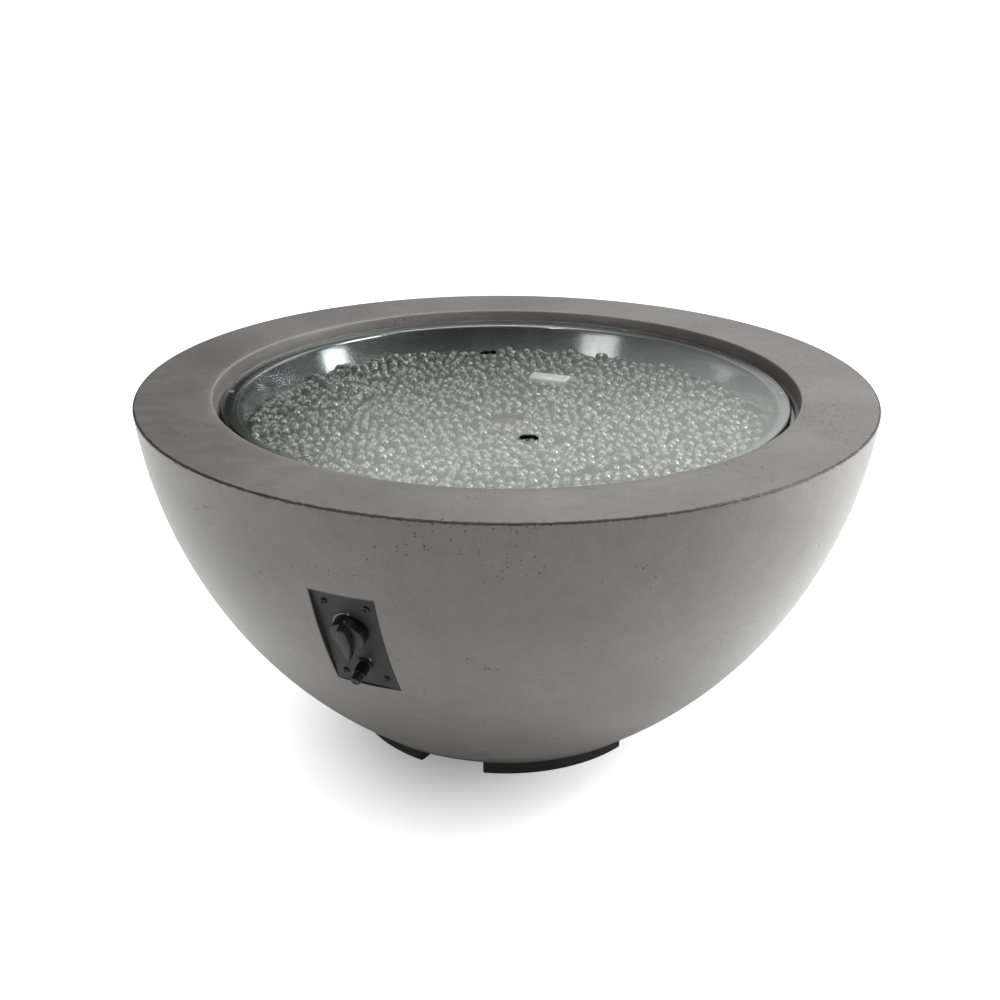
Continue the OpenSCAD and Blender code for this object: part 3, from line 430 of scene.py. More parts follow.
class Finish(Nodes):
    """A material under construction, on Object coordinates."""

    def __init__(self, name):
        self.material = bpy.data.materials.new(name)
        self.material.use_nodes = True
        super().__init__(self.material.node_tree)
        self.shader = self.add("ShaderNodeBsdfPrincipled")
        self.surface = self.add("ShaderNodeOutputMaterial").inputs["Surface"]
        self.put(self.surface, self.shader.outputs[0])
        self.place = self.add("ShaderNodeTexCoord").outputs["Object"]

    def set(self, **inputs):
        for key, value in inputs.items():
            self.put(self.shader.inputs[key.replace("_", " ")], value)

    def reach(self, x, y):
        """Distance from the Z axis."""
        return self.math("SQRT", self.plus(self.times(x, x), self.times(y, y)))

    def noise(self, scale, detail=3.0, rough=0.55, vector=None):
        inputs = {"Scale": scale, "Detail": detail, "Roughness": rough, "Vector": vector or self.place}
        return self.add("ShaderNodeTexNoise", inputs).outputs["Fac"]

    def ramp(self, value, stops):
        node = self.add("ShaderNodeValToRGB", {"Fac": value})
        elements = node.color_ramp.elements
        while len(elements) < len(stops):
            elements.new(0.5)
        for element, (position, colour) in zip(elements, stops):
            element.position = position
            element.color = (*colour, 1.0)
        return node.outputs["Color"]

    def mix(self, factor, a, b, blend="MIX"):
        node = self.add("ShaderNodeMix", data_type="RGBA", blend_type=blend)
        for key, value in (("Factor", factor), ("A", a), ("B", b)):
            self.put(node.inputs[key], value)
        return node.outputs["Result"]

    def bump(self, height, distance, strength=1.0, normal=None):
        node = self.add("ShaderNodeBump", {"Strength": strength, "Distance": distance, "Height": height})
        if normal:
            self.put(node.inputs["Normal"], normal)
        return node.outputs["Normal"]

    def let_lamps_through(self, colour):
        """Clear to the rays that look for lamps, so that what lies under the glass is lit."""
        clear = self.add("ShaderNodeBsdfTransparent", {"Color": colour}).outputs[0]
        self.put(self.surface, self.either(self.light_path()["Is Shadow Ray"], self.shader.outputs[0], clear))


def linear(*levels):
    """Linear colour of three sRGB levels from 0 to 255."""
    srgb = np.array(levels) / 255
    return tuple(float(x) for x in np.where(srgb <= 0.04045, srgb / 12.92, ((srgb + 0.055) / 1.055) ** 2.4))


def concrete(level, brown=0.0):
    """A level of concrete: a little less blue than grey, and more so where it is brown."""
    return linear(level * (1.011 + brown), level, level * (0.970 - 1.2 * brown))


def grey(level, warm=0.0):
    """A level of grey, with its red raised and its blue lowered by the same share."""
    return linear(level * (1 + warm), level, level * (1 - warm))


# Finishes

# Middles and radii of the clusters of air pits that the photograph shows
PIT_CLUSTERS = (
    ((0.025, -0.529, 0.497), 0.032),
    ((-0.017, -0.473, 0.300), 0.026),
    ((-0.045, -0.476, 0.318), 0.016),
    ((-0.040, -0.330, 0.095), 0.060))
CLUSTER_DEPTH = 1.5
SEAL_GLOSS = 0.58
GAP_SHADE_LINE = 0.0020
GAP_SHADE_DEPTH = 0.03
STAIN_TONE = 0.82
PAINTED_SHADE_TONE = 0.32


def air_pits(f, z):
    """1 inside an air pit: small ones in clusters, more of them below the rim, and a few large ones all over.

    Each cell of a Voronoi pattern has one pit, whose size follows a random channel of the cell's colour.
    """
    below_rim = f.spread(z, RIM_Z - 0.10, RIM_Z - 0.01)
    cluster = f.spread(f.math("MULTIPLY_ADD", below_rim, 0.07, f.noise(7.5, 2.0)), 0.55, 0.68)
    for middle, size in PIT_CLUSTERS:
        away = f.vector("DISTANCE", f.place, middle)
        cluster = f.math("MAXIMUM", cluster, f.spread(away, size * 0.3, size, CLUSTER_DEPTH, 0.0))

    def cells(scale, channel, bare_share, widest):
        node = f.add("ShaderNodeTexVoronoi", {"Vector": f.place, "Scale": scale}, feature="F1")
        size = f.spread(f.split(node.outputs["Color"])[channel], bare_share, 1.0, 0.0, widest)
        return node.outputs["Distance"], size

    small, small_size = cells(190.0, 0, 0.45, 0.34)
    large, large_size = cells(46.0, 1, 0.62, 0.085)
    small_pit = f.math("LESS_THAN", small, f.times(small_size, cluster))
    return f.math("MAXIMUM", small_pit, f.math("LESS_THAN", large, large_size))


def panel_gap_shade(f):
    """1 in the painted shadow line round the panel, the shade in its gap: inside the pocket's outline,
    widened by the shadow line's width.
    """
    off_panel = f.vector("SUBTRACT", f.place, tuple(PANEL_PLACE))
    u, v, w = (f.vector("DOT_PRODUCT", off_panel, tuple(axis)) for axis in (PANEL_SIDE, PANEL_UP, PANEL_OUT))
    half_u = PANEL_W / 2 + PANEL_GAP + GAP_SHADE_LINE / 2
    half_v = PANEL_H / 2 + PANEL_GAP + GAP_SHADE_LINE
    past_u = f.math("SUBTRACT", f.math("ABSOLUTE", f.plus(u, GAP_SHADE_LINE / 2)), half_u)
    past_v = f.math("SUBTRACT", f.math("ABSOLUTE", v), half_v)
    inside = f.math("LESS_THAN", f.math("MAXIMUM", past_u, past_v), 0.0)
    return f.times(inside, f.math("GREATER_THAN", w, -GAP_SHADE_DEPTH))


def cast_concrete():
    """Sealed grey concrete: cloudy tone, sand grain, air pits darkened as painted shade, drips below the rim,
    a dark line along the rim's outer edge, a painted highlight on the inner lip, a brownish tone on the
    rebate's wall set as painted light, and a painted shadow round the panel.

    The bands on the rim are told apart by height and by distance from the axis.
    """
    f = Finish("cast_concrete")
    clouds = f.noise(5.5, 5.0, 0.60)
    blots = f.noise(38.0, 5.0, 0.65)
    grain = f.noise(420.0, 2.0, 0.7)
    tone = f.math("MULTIPLY_ADD", clouds, 0.44, f.times(blots, 0.28))
    tone = f.math("MULTIPLY_ADD", grain, 0.28, tone)
    colour = f.ramp(tone, [(0.38, concrete(98)), (0.5, concrete(115)), (0.62, concrete(131))])

    x, y, z = f.split(f.place)
    reach = f.reach(x, y)
    pits = air_pits(f, z)
    long = f.add("ShaderNodeMapping", {"Vector": f.place, "Scale": (1.0, 1.0, 0.06)}).outputs[0]
    drip = f.spread(f.noise(330.0, 2.0, 0.5, long), 0.66, 0.74)
    drip_zone = f.times(f.spread(z, RIM_Z - 0.075, RIM_Z - 0.03), f.spread(x, 0.36, 0.42))
    edge_width = f.spread(f.noise(160.0, 4.0, 0.7), 0.35, 0.7, 0.0016, 0.0044)
    from_edge = f.plus(f.math("SUBTRACT", RIM_R, reach), f.math("SUBTRACT", RIM_Z, z))
    edge_line = f.math("LESS_THAN", from_edge, edge_width)
    above_ledge = f.spread(z, LEDGE_Z - 0.002, LEDGE_Z)
    inner_wall = f.times(f.spread(reach, OPENING_R + 0.0015, OPENING_R + 0.0005), above_ledge)
    near_top = f.spread(z, RIM_Z - 0.0026, RIM_Z - 0.0010)
    lip_highlight = f.times(f.spread(reach, OPENING_R + 0.0042, OPENING_R + 0.0026), near_top)
    sand = f.spread(f.noise(310.0, 2.0, 0.7), 0.50, 0.72)
    sandy = f.times(f.spread(z, RIM_Z - 0.0012, RIM_Z - 0.0004), sand)

    # Each layer: where it lies, how much of it shows, its level and how brown it is
    layers = (
        (sandy, 0.34, 70, 0.02),
        # The rebate's inner wall: its brownish tone is painted light, set for how the front light falls on
        # it.
        (inner_wall, 0.60, 112, 0.05),
        # Painted highlight along the inner lip of the rim.
        (lip_highlight, 0.45, 140, 0.0),
        (edge_line, 0.86, 44, 0.05),
        # Painted shadow in the gap round the panel.
        (panel_gap_shade(f), 0.80, 42, 0.04),
        (f.times(drip, drip_zone), 0.70, 62, 0.02),
        # The dark colour of the pits is painted shade inside them.
        (pits, 0.72, 46, 0.03))
    for mask, share, level, brown in layers:
        colour = f.mix(f.times(mask, share), colour, (*concrete(level, brown), 1))
    fine = f.bump(f.math("MULTIPLY_ADD", grain, 0.5, blots), 0.00022, 0.30)
    dents = f.bump(f.math("SUBTRACT", 1.0, pits), 0.0010, 0.7, fine)
    sealed = f.math("MULTIPLY_ADD", f.math("MAXIMUM", pits, edge_line), -SEAL_GLOSS, SEAL_GLOSS)
    f.set(Base_Color=colour, Roughness=f.spread(blots, 0.3, 0.7, 0.40, 0.50), Normal=dents)
    f.set(Coat_Weight=sealed, Coat_Roughness=0.30)
    return f.material


def metal(name, colour, roughness, streak, streak_scale=900.0, painted_shade_z=None):
    """Bare metal with fine turned lines: the roughness follows a noise of radius plus height.

    Above the height given as its last argument, the colour is darkened as painted shade.
    """
    f = Finish(name)
    x, y, z = f.split(f.place)
    line_inputs = {"Scale": streak_scale, "Detail": 3.0, "W": f.plus(f.reach(x, y), z)}
    lines = f.add("ShaderNodeTexNoise", line_inputs, noise_dimensions="1D")
    stain = f.noise(18.0, 3.0)
    worn = f.math("MULTIPLY_ADD", lines.outputs["Fac"], streak, f.times(stain, 0.06))
    shown = f.ramp(stain, [(0.3, tuple(STAIN_TONE * c for c in colour)), (0.7, colour)])
    if painted_shade_z is not None:
        # Painted shade: the steel above this height is darkened.
        shown = f.mix(f.math("GREATER_THAN", z, painted_shade_z), shown, (*(PAINTED_SHADE_TONE * c for c in colour), 1))
    f.set(Base_Color=shown, Metallic=1.0)
    f.set(Roughness=f.plus(worn, roughness), Normal=f.bump(lines.outputs["Fac"], 0.00002, streak))
    return f.material


def grained(name, levels, roughness, dust, grain, specular=0.5):
    """Matt skin: a soft noise sets its tone and roughness, and a fine noise its grain.

    dust holds the scale, detail and roughness of the soft noise, grain the scale, height and strength of the
    fine one.
    """
    f = Finish(name)
    dusty = f.noise(*dust)
    scale, height, strength = grain
    f.set(Base_Color=f.ramp(dusty, [(0.3, grey(levels[0])), (0.7, grey(levels[1]))]))
    f.set(Roughness=f.spread(dusty, 0.3, 0.7, *roughness), Specular_IOR_Level=specular)
    f.set(Normal=f.bump(f.noise(scale, 2.0, 0.5), height, strength))
    return f.material


def moulded_block():
    """Dark moulded foot: a fine leathery grain and paler dust."""
    return grained("moulded_block", (44, 60), (0.62, 0.78), (40.0, 4.0, 0.6), (1400.0, 0.0002, 0.5))


def powder_coat(name, level, roughness):
    """Black powder coat: an orange peel of small soft bumps over an even dark tone."""
    levels = (level * 0.9, level * 1.12)
    around = (roughness - 0.05, roughness + 0.06)
    return grained(name, levels, around, (30.0, 4.0, 0.6), (1100.0, 0.00012, 0.5), 0.22)


def moulded_plastic(name, level, roughness):
    """Moulded plastic with a spark-eroded grain and a little handling shine."""
    levels = (level * 0.88, level * 1.15)
    around = (roughness - 0.06, roughness + 0.06)
    return grained(name, levels, around, (45.0, 3.0, 0.55), (1800.0, 0.00008, 0.4), 0.30)


def speckled(name, scale, top, low_tone, top_tone, **more):
    """Pale skin with faint specks: a fine noise between two tones."""
    f = Finish(name)
    f.set(Base_Color=f.ramp(f.noise(scale, 2.0), [(0.3, low_tone), (top, top_tone)]), **more)
    return f.material


def braided_hose():
    """Braided steel hose: two sets of crossing strands as waves of opposite slant."""
    f = Finish("braided_hose")
    left = f.add("ShaderNodeTexWave", {"Vector": f.place, "Scale": 160.0, "Distortion": 0.6})
    right_inputs = {"Vector": f.place, "Scale": 170.0, "Distortion": 0.8}
    right = f.add("ShaderNodeTexWave", right_inputs, bands_direction="DIAGONAL")
    strands = f.times(left.outputs["Fac"], right.outputs["Fac"])
    f.set(Base_Color=f.ramp(strands, [(0.1, grey(70)), (0.8, grey(175))]), Metallic=1.0, Roughness=0.34)
    f.set(Normal=f.bump(strands, 0.0006, 0.6))
    return f.material


def clear_pane():
    """Clear glass of the cover, faintly green, with a few smears."""
    f = Finish("clear_pane")
    f.set(Base_Color=(0.955, 0.98, 0.952, 1), Transmission_Weight=1.0, IOR=1.5)
    f.set(Roughness=f.spread(f.noise(7.0, 3.0), 0.45, 0.8, 0.0, 0.03))
    f.let_lamps_through((0.84, 0.88, 0.87, 1))
    return f.material


def gem_glass():
    """Clear gem glass with a grey green cast, with painted light and shade on each ball.

    The tone falls from the middle of each ball to its outline, by how squarely it faces the eye: a pale
    middle, a brighter ring that is a painted highlight, and a dark outline that is painted shade for the dark
    gaps a real ball refracts. A noise paints light and dark patches for the neighbours seen through it, and a
    fire-polished coat gives the glints.
    """
    f = Finish("gem_glass")
    facing = f.add("ShaderNodeLayerWeight", {"Blend": 0.5}).outputs["Facing"]
    # Painted light and shade by facing: pale middle, a brighter ring as painted highlight, dark outline as
    # painted shade.
    levels = ((0.0, 0.15), (0.24, 0.27), (0.44, 0.19), (0.61, 0.025), (0.85, 0.06))
    body = f.ramp(facing, [(place, (0.88 * tone, tone, 0.80 * tone)) for place, tone in levels])
    # Painted refraction: light and dark patches for the neighbours seen through each ball.
    cast = f.ramp(f.noise(190.0, 1.0), [(0.38, (0.30, 0.33, 0.31)), (0.62, (1.0, 1.0, 1.0))])
    colour = f.mix(1.0, body, cast, "MULTIPLY")
    f.set(Base_Color=colour, Transmission_Weight=0.30, IOR=1.5, Roughness=0.10)
    uneven = f.bump(f.noise(260.0, 1.0), 0.0014, 0.8)
    f.set(Coat_Weight=1.0, Coat_Roughness=0.13, Coat_IOR=2.3, Coat_Normal=uneven)
    f.let_lamps_through((0.30, 0.32, 0.31, 1))
    return f.material


finishes = {
    "concrete": cast_concrete(),
    "foot_block": moulded_block(),
    # The steel of the flange is darkened as painted shade.
    "polished_steel": metal("polished_steel", (0.58, 0.60, 0.62), 0.09, 0.05, 2600.0, FLANGE_Z - 0.0015),
    "steel": metal("plain_steel", (0.60, 0.60, 0.60), 0.24, 0.16),
    "burner_steel": metal("burner_steel", (0.10, 0.095, 0.09), 0.42, 0.10),
    "hood_steel": metal("hood_steel", (0.93, 0.92, 0.90), 0.38, 0.10),
    "hose_steel": braided_hose(),
    "brass": metal("machined_brass", (0.62, 0.43, 0.17), 0.26, 0.14),
    "copper": metal("drawn_copper", (0.62, 0.30, 0.17), 0.28, 0.12),
    "cover_glass": clear_pane(),
    "gem_glass": gem_glass(),
    "clear_silicone": speckled("clear_silicone", 300.0, 0.7, grey(205), grey(225),
                               Transmission_Weight=0.7, IOR=1.41, Roughness=0.25),
    "white_ceramic": speckled("white_ceramic", 700.0, 0.6, grey(214, 0.02), grey(232, 0.015), Roughness=0.6),
    "black_paint": powder_coat("panel_coat", 58, 0.50),
    "black_screw": powder_coat("screw_coat", 40, 0.38),
    "knob_plastic": moulded_plastic("knob_plastic", 30, 0.36),
    "igniter_plastic": moulded_plastic("igniter_plastic", 26, 0.34),
    "lead_rubber": moulded_plastic("lead_rubber", 30, 0.55),
    "mark_paint": speckled("mark_paint", 900.0, 0.6, grey(205), grey(235), Roughness=0.55),
}

for part in frame["record"]["subparts"]:
    solid = frame["nodes"][part["node"]]
    solid.data.materials.clear()
    # The ring burner gets near-black steel, painted shade for the gem bed lying over it.
    slot = "burner_steel" if part["node"] == "ring_burner" else part["material_slot"]
    solid.data.materials.append(finishes[slot])


# Bowl

BASE_ROUND = 0.004
VENT_ROUND = 0.003
INSERT_ROOM = 0.0055
POCKET_CORNER = 0.0015
POCKET_OUT = 0.060
WINDOW_IN = 0.062


def bowl_profile():
    """Half section: bottom, outer arc, rim with its round edges, rebate, ledge, inner arc, slab and vent."""
    centre = (SIDE_CENTRE_R, SIDE_CENTRE_Z)

    def side_arc(radius, low, high, steps):
        ends = [math.degrees(math.asin((z - SIDE_CENTRE_Z) / radius)) for z in (low, high)]
        return arc_points(centre, radius, *ends, steps)

    outer = side_arc(SIDE_R, BASE_Z + BASE_ROUND, RIM_Z - RIM_EDGE, 72)
    inner = side_arc(SIDE_R - WALL, RIM_LOW_Z, SLAB_Z, 40)
    base_r = outer[0][0] - BASE_ROUND
    edge_r = RIM_R - RIM_EDGE
    lip_r = OPENING_R + RIM_EDGE
    edge_z = RIM_Z - RIM_EDGE
    rebate = [(OPENING_R, edge_z - 0.003), (OPENING_R, LEDGE_Z), (LEDGE_R, LEDGE_Z), (LEDGE_R, RIM_LOW_Z)]
    return np.concatenate([
        run_points((VENT_R + VENT_ROUND, BASE_Z), (base_r, BASE_Z), 12),
        arc_points((base_r, BASE_Z + BASE_ROUND), BASE_ROUND, -90, -25, 4)[:-1],
        outer[:-1],
        arc_points((edge_r, edge_z), RIM_EDGE, 0, 90, 4),
        run_points((edge_r - 0.002, RIM_Z), (lip_r + 0.002, RIM_Z), 10),
        arc_points((lip_r, edge_z), RIM_EDGE, 90, 180, 4),
        runs([*rebate, inner[0]], (4, 4, 4, 5)),
        inner[:-1],
        runs([inner[-1], (VENT_R, SLAB_Z), (VENT_R, BASE_Z + VENT_ROUND)], (8, 4)),
        arc_points((VENT_R + VENT_ROUND, BASE_Z + VENT_ROUND), VENT_ROUND, 180, 270, 3)[:-1]])


def make_bowl():
    """The cast shell, with the panel's pocket and window taken out of its side."""
    shell = revolve(bowl_profile(), 480, closed_profile=True)
    outline = rounded_rectangle(PANEL_W / 2 + PANEL_GAP, PANEL_H / 2 + PANEL_GAP, POCKET_CORNER, 3)
    pocket = loft([at_height(outline, w) for w in (-PANEL_T, POCKET_OUT)])
    window_u = SCREW_U - INSERT_ROOM
    window_v = SCREW_V - INSERT_ROOM
    window = box_shape((-window_u, -window_v, -WINDOW_IN), (window_u, window_v, -PANEL_T + 0.001))
    cuts = ((pocket, on_panel), (window, on_panel))
    add_piece("bowl_shell", shell, "fire_bowl", "concrete", "bowl", cuts=cuts, sharp=32.0)


# Feet

FOOT_SOFT = 0.003
FOOT_TOP_SOFT = 0.0008
FOOT_STEPS = 38


def make_foot(name, index):
    """A rounded rectangle of radius and height carried along an arc, drawn in a little at its two ends."""
    corners = [(FOOT_IN_R, 0), (FOOT_OUT_R, 0), (FOOT_OUT_R, BASE_Z), (FOOT_IN_R, BASE_Z)]
    section = rounded_outline(corners, [FOOT_SOFT, FOOT_SOFT, FOOT_TOP_SOFT, FOOT_TOP_SOFT], 4)
    middle_r = (FOOT_IN_R + FOOT_OUT_R) / 2
    half_r = (FOOT_OUT_R - FOOT_IN_R) / 2
    centre_angle = FOOT_FIRST + index * FOOT_STEP
    start = -FOOT_SPAN / 2 + FOOT_SOFT / FOOT_OUT_R * (1 - np.cos(quarter(5)))
    drawn = FOOT_SOFT * (1 - np.sin(quarter(5)))
    turn = np.concatenate([start, np.linspace(start[-1], -start[-1], FOOT_STEPS + 2)[1:-1], -start[::-1]])
    insets = np.concatenate([drawn, np.zeros(FOOT_STEPS), drawn[::-1]])
    rows = []
    for angle, inset in zip(centre_angle + turn, insets):
        reach = middle_r + (section[:, 0] - middle_r) * (1 - inset / half_r)
        rows.append(np.column_stack([reach * math.cos(angle), reach * math.sin(angle), section[:, 1]]))
    hole = cylinder(FOOT_HEAD_R, -0.001, 0.010, 32)
    bolts = [polar(FOOT_BOLT_R, centre_angle + side * FOOT_SPAN / 4) for side in (-1, 1)]
    cuts = [(hole, moved(bolt)) for bolt in bolts]
    add_piece(name, loft(rows), "fire_bowl", "foot_block", name.replace("_block", ""), cuts=cuts, sharp=40.0)


# Pan and glass cover


def make_pan():
    """Sheet of the dish: floor, bend, leaning wall, bend and flange, as a closed half section."""
    lean = math.degrees(math.atan2(PAN_R - PAN_FLOOR_R, FLANGE_Z - PAN_FLOOR_Z))
    tangent = math.tan(math.radians((90 - lean) / 2))
    low_r = PAN_FLOOR_R - tangent * PAN_BEND
    top_r = PAN_R + tangent * (PAN_BEND + PAN_SHEET)
    top_z = FLANGE_Z - PAN_BEND - PAN_SHEET
    inner_low = arc_points((low_r, PAN_FLOOR_Z + PAN_BEND), PAN_BEND, -90, -lean, 8)
    inner_top = arc_points((top_r, top_z), PAN_BEND + PAN_SHEET, 180 - lean, 90, 10)
    outer_top = arc_points((top_r, top_z), PAN_BEND, 90, 180 - lean, 10)
    outer_low = arc_points((low_r, PAN_FLOOR_Z + PAN_BEND), PAN_BEND + PAN_SHEET, -lean, -90, 8)
    profile = np.concatenate([
        run_points((PAN_HOLE_R, PAN_FLOOR_Z), inner_low[0], 12),
        inner_low[:-1],
        run_points(inner_low[-1], inner_top[0], 8),
        inner_top[:-1],
        run_points(inner_top[-1], (FLANGE_R - 0.0006, FLANGE_Z), 4),
        arc_points((FLANGE_R - PAN_SHEET / 2, FLANGE_Z - PAN_SHEET / 2), PAN_SHEET / 2, 90, -90, 6),
        run_points((FLANGE_R - 0.002, FLANGE_Z - PAN_SHEET), outer_top[0], 4),
        outer_top[:-1],
        run_points(outer_top[-1], outer_low[0], 8),
        outer_low[:-1],
        run_points(outer_low[-1], (PAN_HOLE_R, PAN_FLOOR_Z - PAN_SHEET), 12),
        [(PAN_HOLE_R, PAN_FLOOR_Z - PAN_SHEET)]])
    dish = revolve(profile, 360, closed_profile=True)
    add_piece("pan_dish", dish, "fire_bowl", "polished_steel", "burner_pan")


FINGER_EASE = 0.0012
CUT_MARGIN = 0.002
BUMPER_R = 0.0045
BUMPER_COUNT = 6


def make_cover():
    """A flat disc with a polished round edge, and two finger holes with eased edges."""
    edge = (COVER_TOP_Z - COVER_LOW_Z) / 2
    rim = arc_points((COVER_R - edge, COVER_LOW_Z + edge), edge, -90, 90, 8)
    flat = (0, COVER_R / 2, COVER_R - edge - 0.0005)
    low = [(r, COVER_LOW_Z) for r in flat]
    top = [(r, COVER_TOP_Z) for r in reversed(flat)]
    disc = revolve(np.concatenate([low, rim, top]), 240)
    wide_r = FINGER_R + FINGER_EASE + CUT_MARGIN
    low_z = COVER_LOW_Z - CUT_MARGIN
    top_z = COVER_TOP_Z + CUT_MARGIN
    straight = [(FINGER_R, COVER_LOW_Z + FINGER_EASE), (FINGER_R, COVER_TOP_Z - FINGER_EASE)]
    hole = revolve([(0, low_z), (wide_r, low_z), *straight, (wide_r, top_z), (0, top_z)], 64)
    cuts = [(hole, moved(polar(FINGER_REACH, FINGER_TURN + turn))) for turn in (0, math.pi)]
    add_piece("cover_pane", disc, "cover", "cover_glass", "glass_cover", cuts=cuts, sharp=30.0)


def make_bumpers():
    """Low domes round the flange: a flattened half circle turned about each middle."""
    ring_r = (PAN_R + PAN_BEND + COVER_R) / 2
    height = COVER_LOW_Z - FLANGE_Z
    t = quarter(7)
    dome = np.stack([BUMPER_R * np.cos(t) ** 0.5, COVER_LOW_Z - height * np.sin(t)], axis=1)
    profile = np.concatenate([[(0, COVER_LOW_Z)], dome[:-1], [(0, COVER_LOW_Z - height)]])
    places = [moved(polar(ring_r, 2 * math.pi * k / BUMPER_COUNT)) for k in range(BUMPER_COUNT)]
    bumpers = copies(revolve(profile, 20), places)
    add_piece("cover_pads", bumpers, "cover", "clear_silicone", "cover_bumpers")


# Fire glass

GEM_R = 0.0092
GEM_COUNT = 2700
GEM_SPREAD = 0.42
GEM_HIGHEST_Z = 0.4715
SETTLE_PASSES = 100
TOP_COVER = 1.18
TOP_PASSES = 60
TOP_WAVE = 0.0110
DROP_HEIGHT = 0.055
FALL_STEP = 0.0010
PUSH_SHARE = 0.42
TINY = 1e-6
SPOKE_ANGLES = np.radians([45, 135, 225, 315])


def out_of_tube(side, rise, tube_r):
    """Share by which balls move away from a tube's axis, from their places beside and over it."""
    gap = np.maximum(np.hypot(side, rise), TINY)
    return np.maximum(0.0, tube_r + GEM_R - gap) / gap


def keep_clear(gems):
    """Pushes balls out of the pan's floor and wall, the burner's rings, spokes and hub, and the hood."""
    lean = (PAN_R - PAN_FLOOR_R) / (FLANGE_Z - PAN_FLOOR_Z)

    def from_axis():
        return np.maximum(np.hypot(gems[:, 0], gems[:, 1]), TINY)

    gems[:, 2] = np.maximum(gems[:, 2], PAN_FLOOR_Z + GEM_R)
    limit = PAN_FLOOR_R + (gems[:, 2] - PAN_FLOOR_Z) * lean - GEM_R * 1.05
    gems[:, :2] *= np.minimum(1.0, limit / from_axis())[:, None]
    for ring_r in BURNER_RINGS:
        reach = from_axis()
        rise = gems[:, 2] - BURNER_Z
        push = out_of_tube(reach - ring_r, rise, BURNER_TUBE_R)
        gems[:, :2] *= (1 + (reach - ring_r) * push / reach)[:, None]
        gems[:, 2] += rise * push
    reach = from_axis()
    in_hub = (reach < HUB_R + GEM_R) & (gems[:, 2] < HUB_TOP_Z + GEM_R)
    gems[in_hub, :2] *= ((HUB_R + GEM_R) / reach[in_hub])[:, None]
    for angle in SPOKE_ANGLES:
        along = gems[:, 0] * math.cos(angle) + gems[:, 1] * math.sin(angle)
        across = -gems[:, 0] * math.sin(angle) + gems[:, 1] * math.cos(angle)
        rise = gems[:, 2] - BURNER_Z
        near = (along > 0) & (along < BURNER_RINGS[1])
        push = np.where(near, out_of_tube(across, rise, SPOKE_R), 0.0)
        gems[:, 0] -= math.sin(angle) * across * push
        gems[:, 1] += math.cos(angle) * across * push
        gems[:, 2] += rise * push
    across = HOOD_ACROSS[:2]
    away = HOOD_AWAY[:2]
    x = gems[:, :2] @ across
    y = gems[:, :2] @ away - HOOD_REACH - HOOD_D / 2
    deep_x = HOOD_W / 2 + GEM_R - np.abs(x)
    deep_y = HOOD_D / 2 + GEM_R - np.abs(y)
    inside = (deep_x > 0) & (deep_y > 0) & (gems[:, 2] < PAN_FLOOR_Z + HOOD_H + GEM_R)
    by_x = inside & (deep_x < deep_y)
    by_y = inside & ~by_x
    gems[by_x, :2] += (np.sign(x[by_x]) * deep_x[by_x])[:, None] * across
    gems[by_y, :2] += (np.sign(y[by_y]) * deep_y[by_y])[:, None] * away


def near_pairs(gems):
    """Pairs of balls in the same cube or in neighbour cubes of one ball's width.

    Cubes are numbered in one row, and the balls are sorted by number. Each ball's partners in a cube are then
    a run of the sorted list. Only one of two opposite neighbours is taken, so no pair comes twice.
    """
    cube = np.floor((gems - gems.min(axis=0)) / (2 * GEM_R)).astype(np.int64) + 1
    size = cube.max(axis=0) + 2
    number = (cube[:, 0] * size[1] + cube[:, 1]) * size[2] + cube[:, 2]
    order = np.argsort(number, kind="stable")
    ranked = number[order]
    own = np.arange(len(ranked))
    around = np.array([-1, 0, 1])
    plan_steps = around[:, None, None] * size[1] + around[None, :, None]
    steps = (plan_steps * size[2] + around[None, None, :]).ravel()
    first = []
    second = []
    for step in steps[len(steps) // 2:]:
        low = np.searchsorted(ranked, ranked + step, "left") if step else own + 1
        high = np.searchsorted(ranked, ranked + step, "right")
        count = np.maximum(high - low, 0)
        within = np.arange(count.sum()) - np.repeat(np.cumsum(count) - count, count)
        first.append(np.repeat(own, count))
        second.append(np.repeat(low, count) + within)
    return order[np.concatenate(first)], order[np.concatenate(second)]


def push_apart(gems, axes):
    """Moves each pair closer than two radii apart along its own line, in the first one, two or three axes."""
    first, second = near_pairs(gems)
    line = gems[first] - gems[second]
    gap = np.maximum(np.linalg.norm(line, axis=1), TINY)
    push = (PUSH_SHARE * np.maximum(2 * GEM_R - gap, 0.0) / gap)[:, None] * line
    for axis in range(axes):
        gems[:, axis] += np.bincount(first, push[:, axis], len(gems))
        gems[:, axis] -= np.bincount(second, push[:, axis], len(gems))


def settle_gems(random):
    """Body of the bed: balls fall a little each pass, and then they push each other apart."""
    angle = random.uniform(0, 2 * math.pi, GEM_COUNT)
    reach = (PAN_FLOOR_R - GEM_R) * random.uniform(0, 1, GEM_COUNT) ** GEM_SPREAD
    height = PAN_FLOOR_Z + GEM_R + random.uniform(0, DROP_HEIGHT, GEM_COUNT)
    gems = np.stack([reach * np.cos(angle), reach * np.sin(angle), height], axis=1)
    for step in range(SETTLE_PASSES):
        gems[:, 2] -= FALL_STEP * (1 - step / SETTLE_PASSES)
        keep_clear(gems)
        push_apart(gems, 3)
    keep_clear(gems)
    return gems[gems[:, 2] < GEM_HIGHEST_Z - TOP_WAVE - 2.5 * GEM_R]


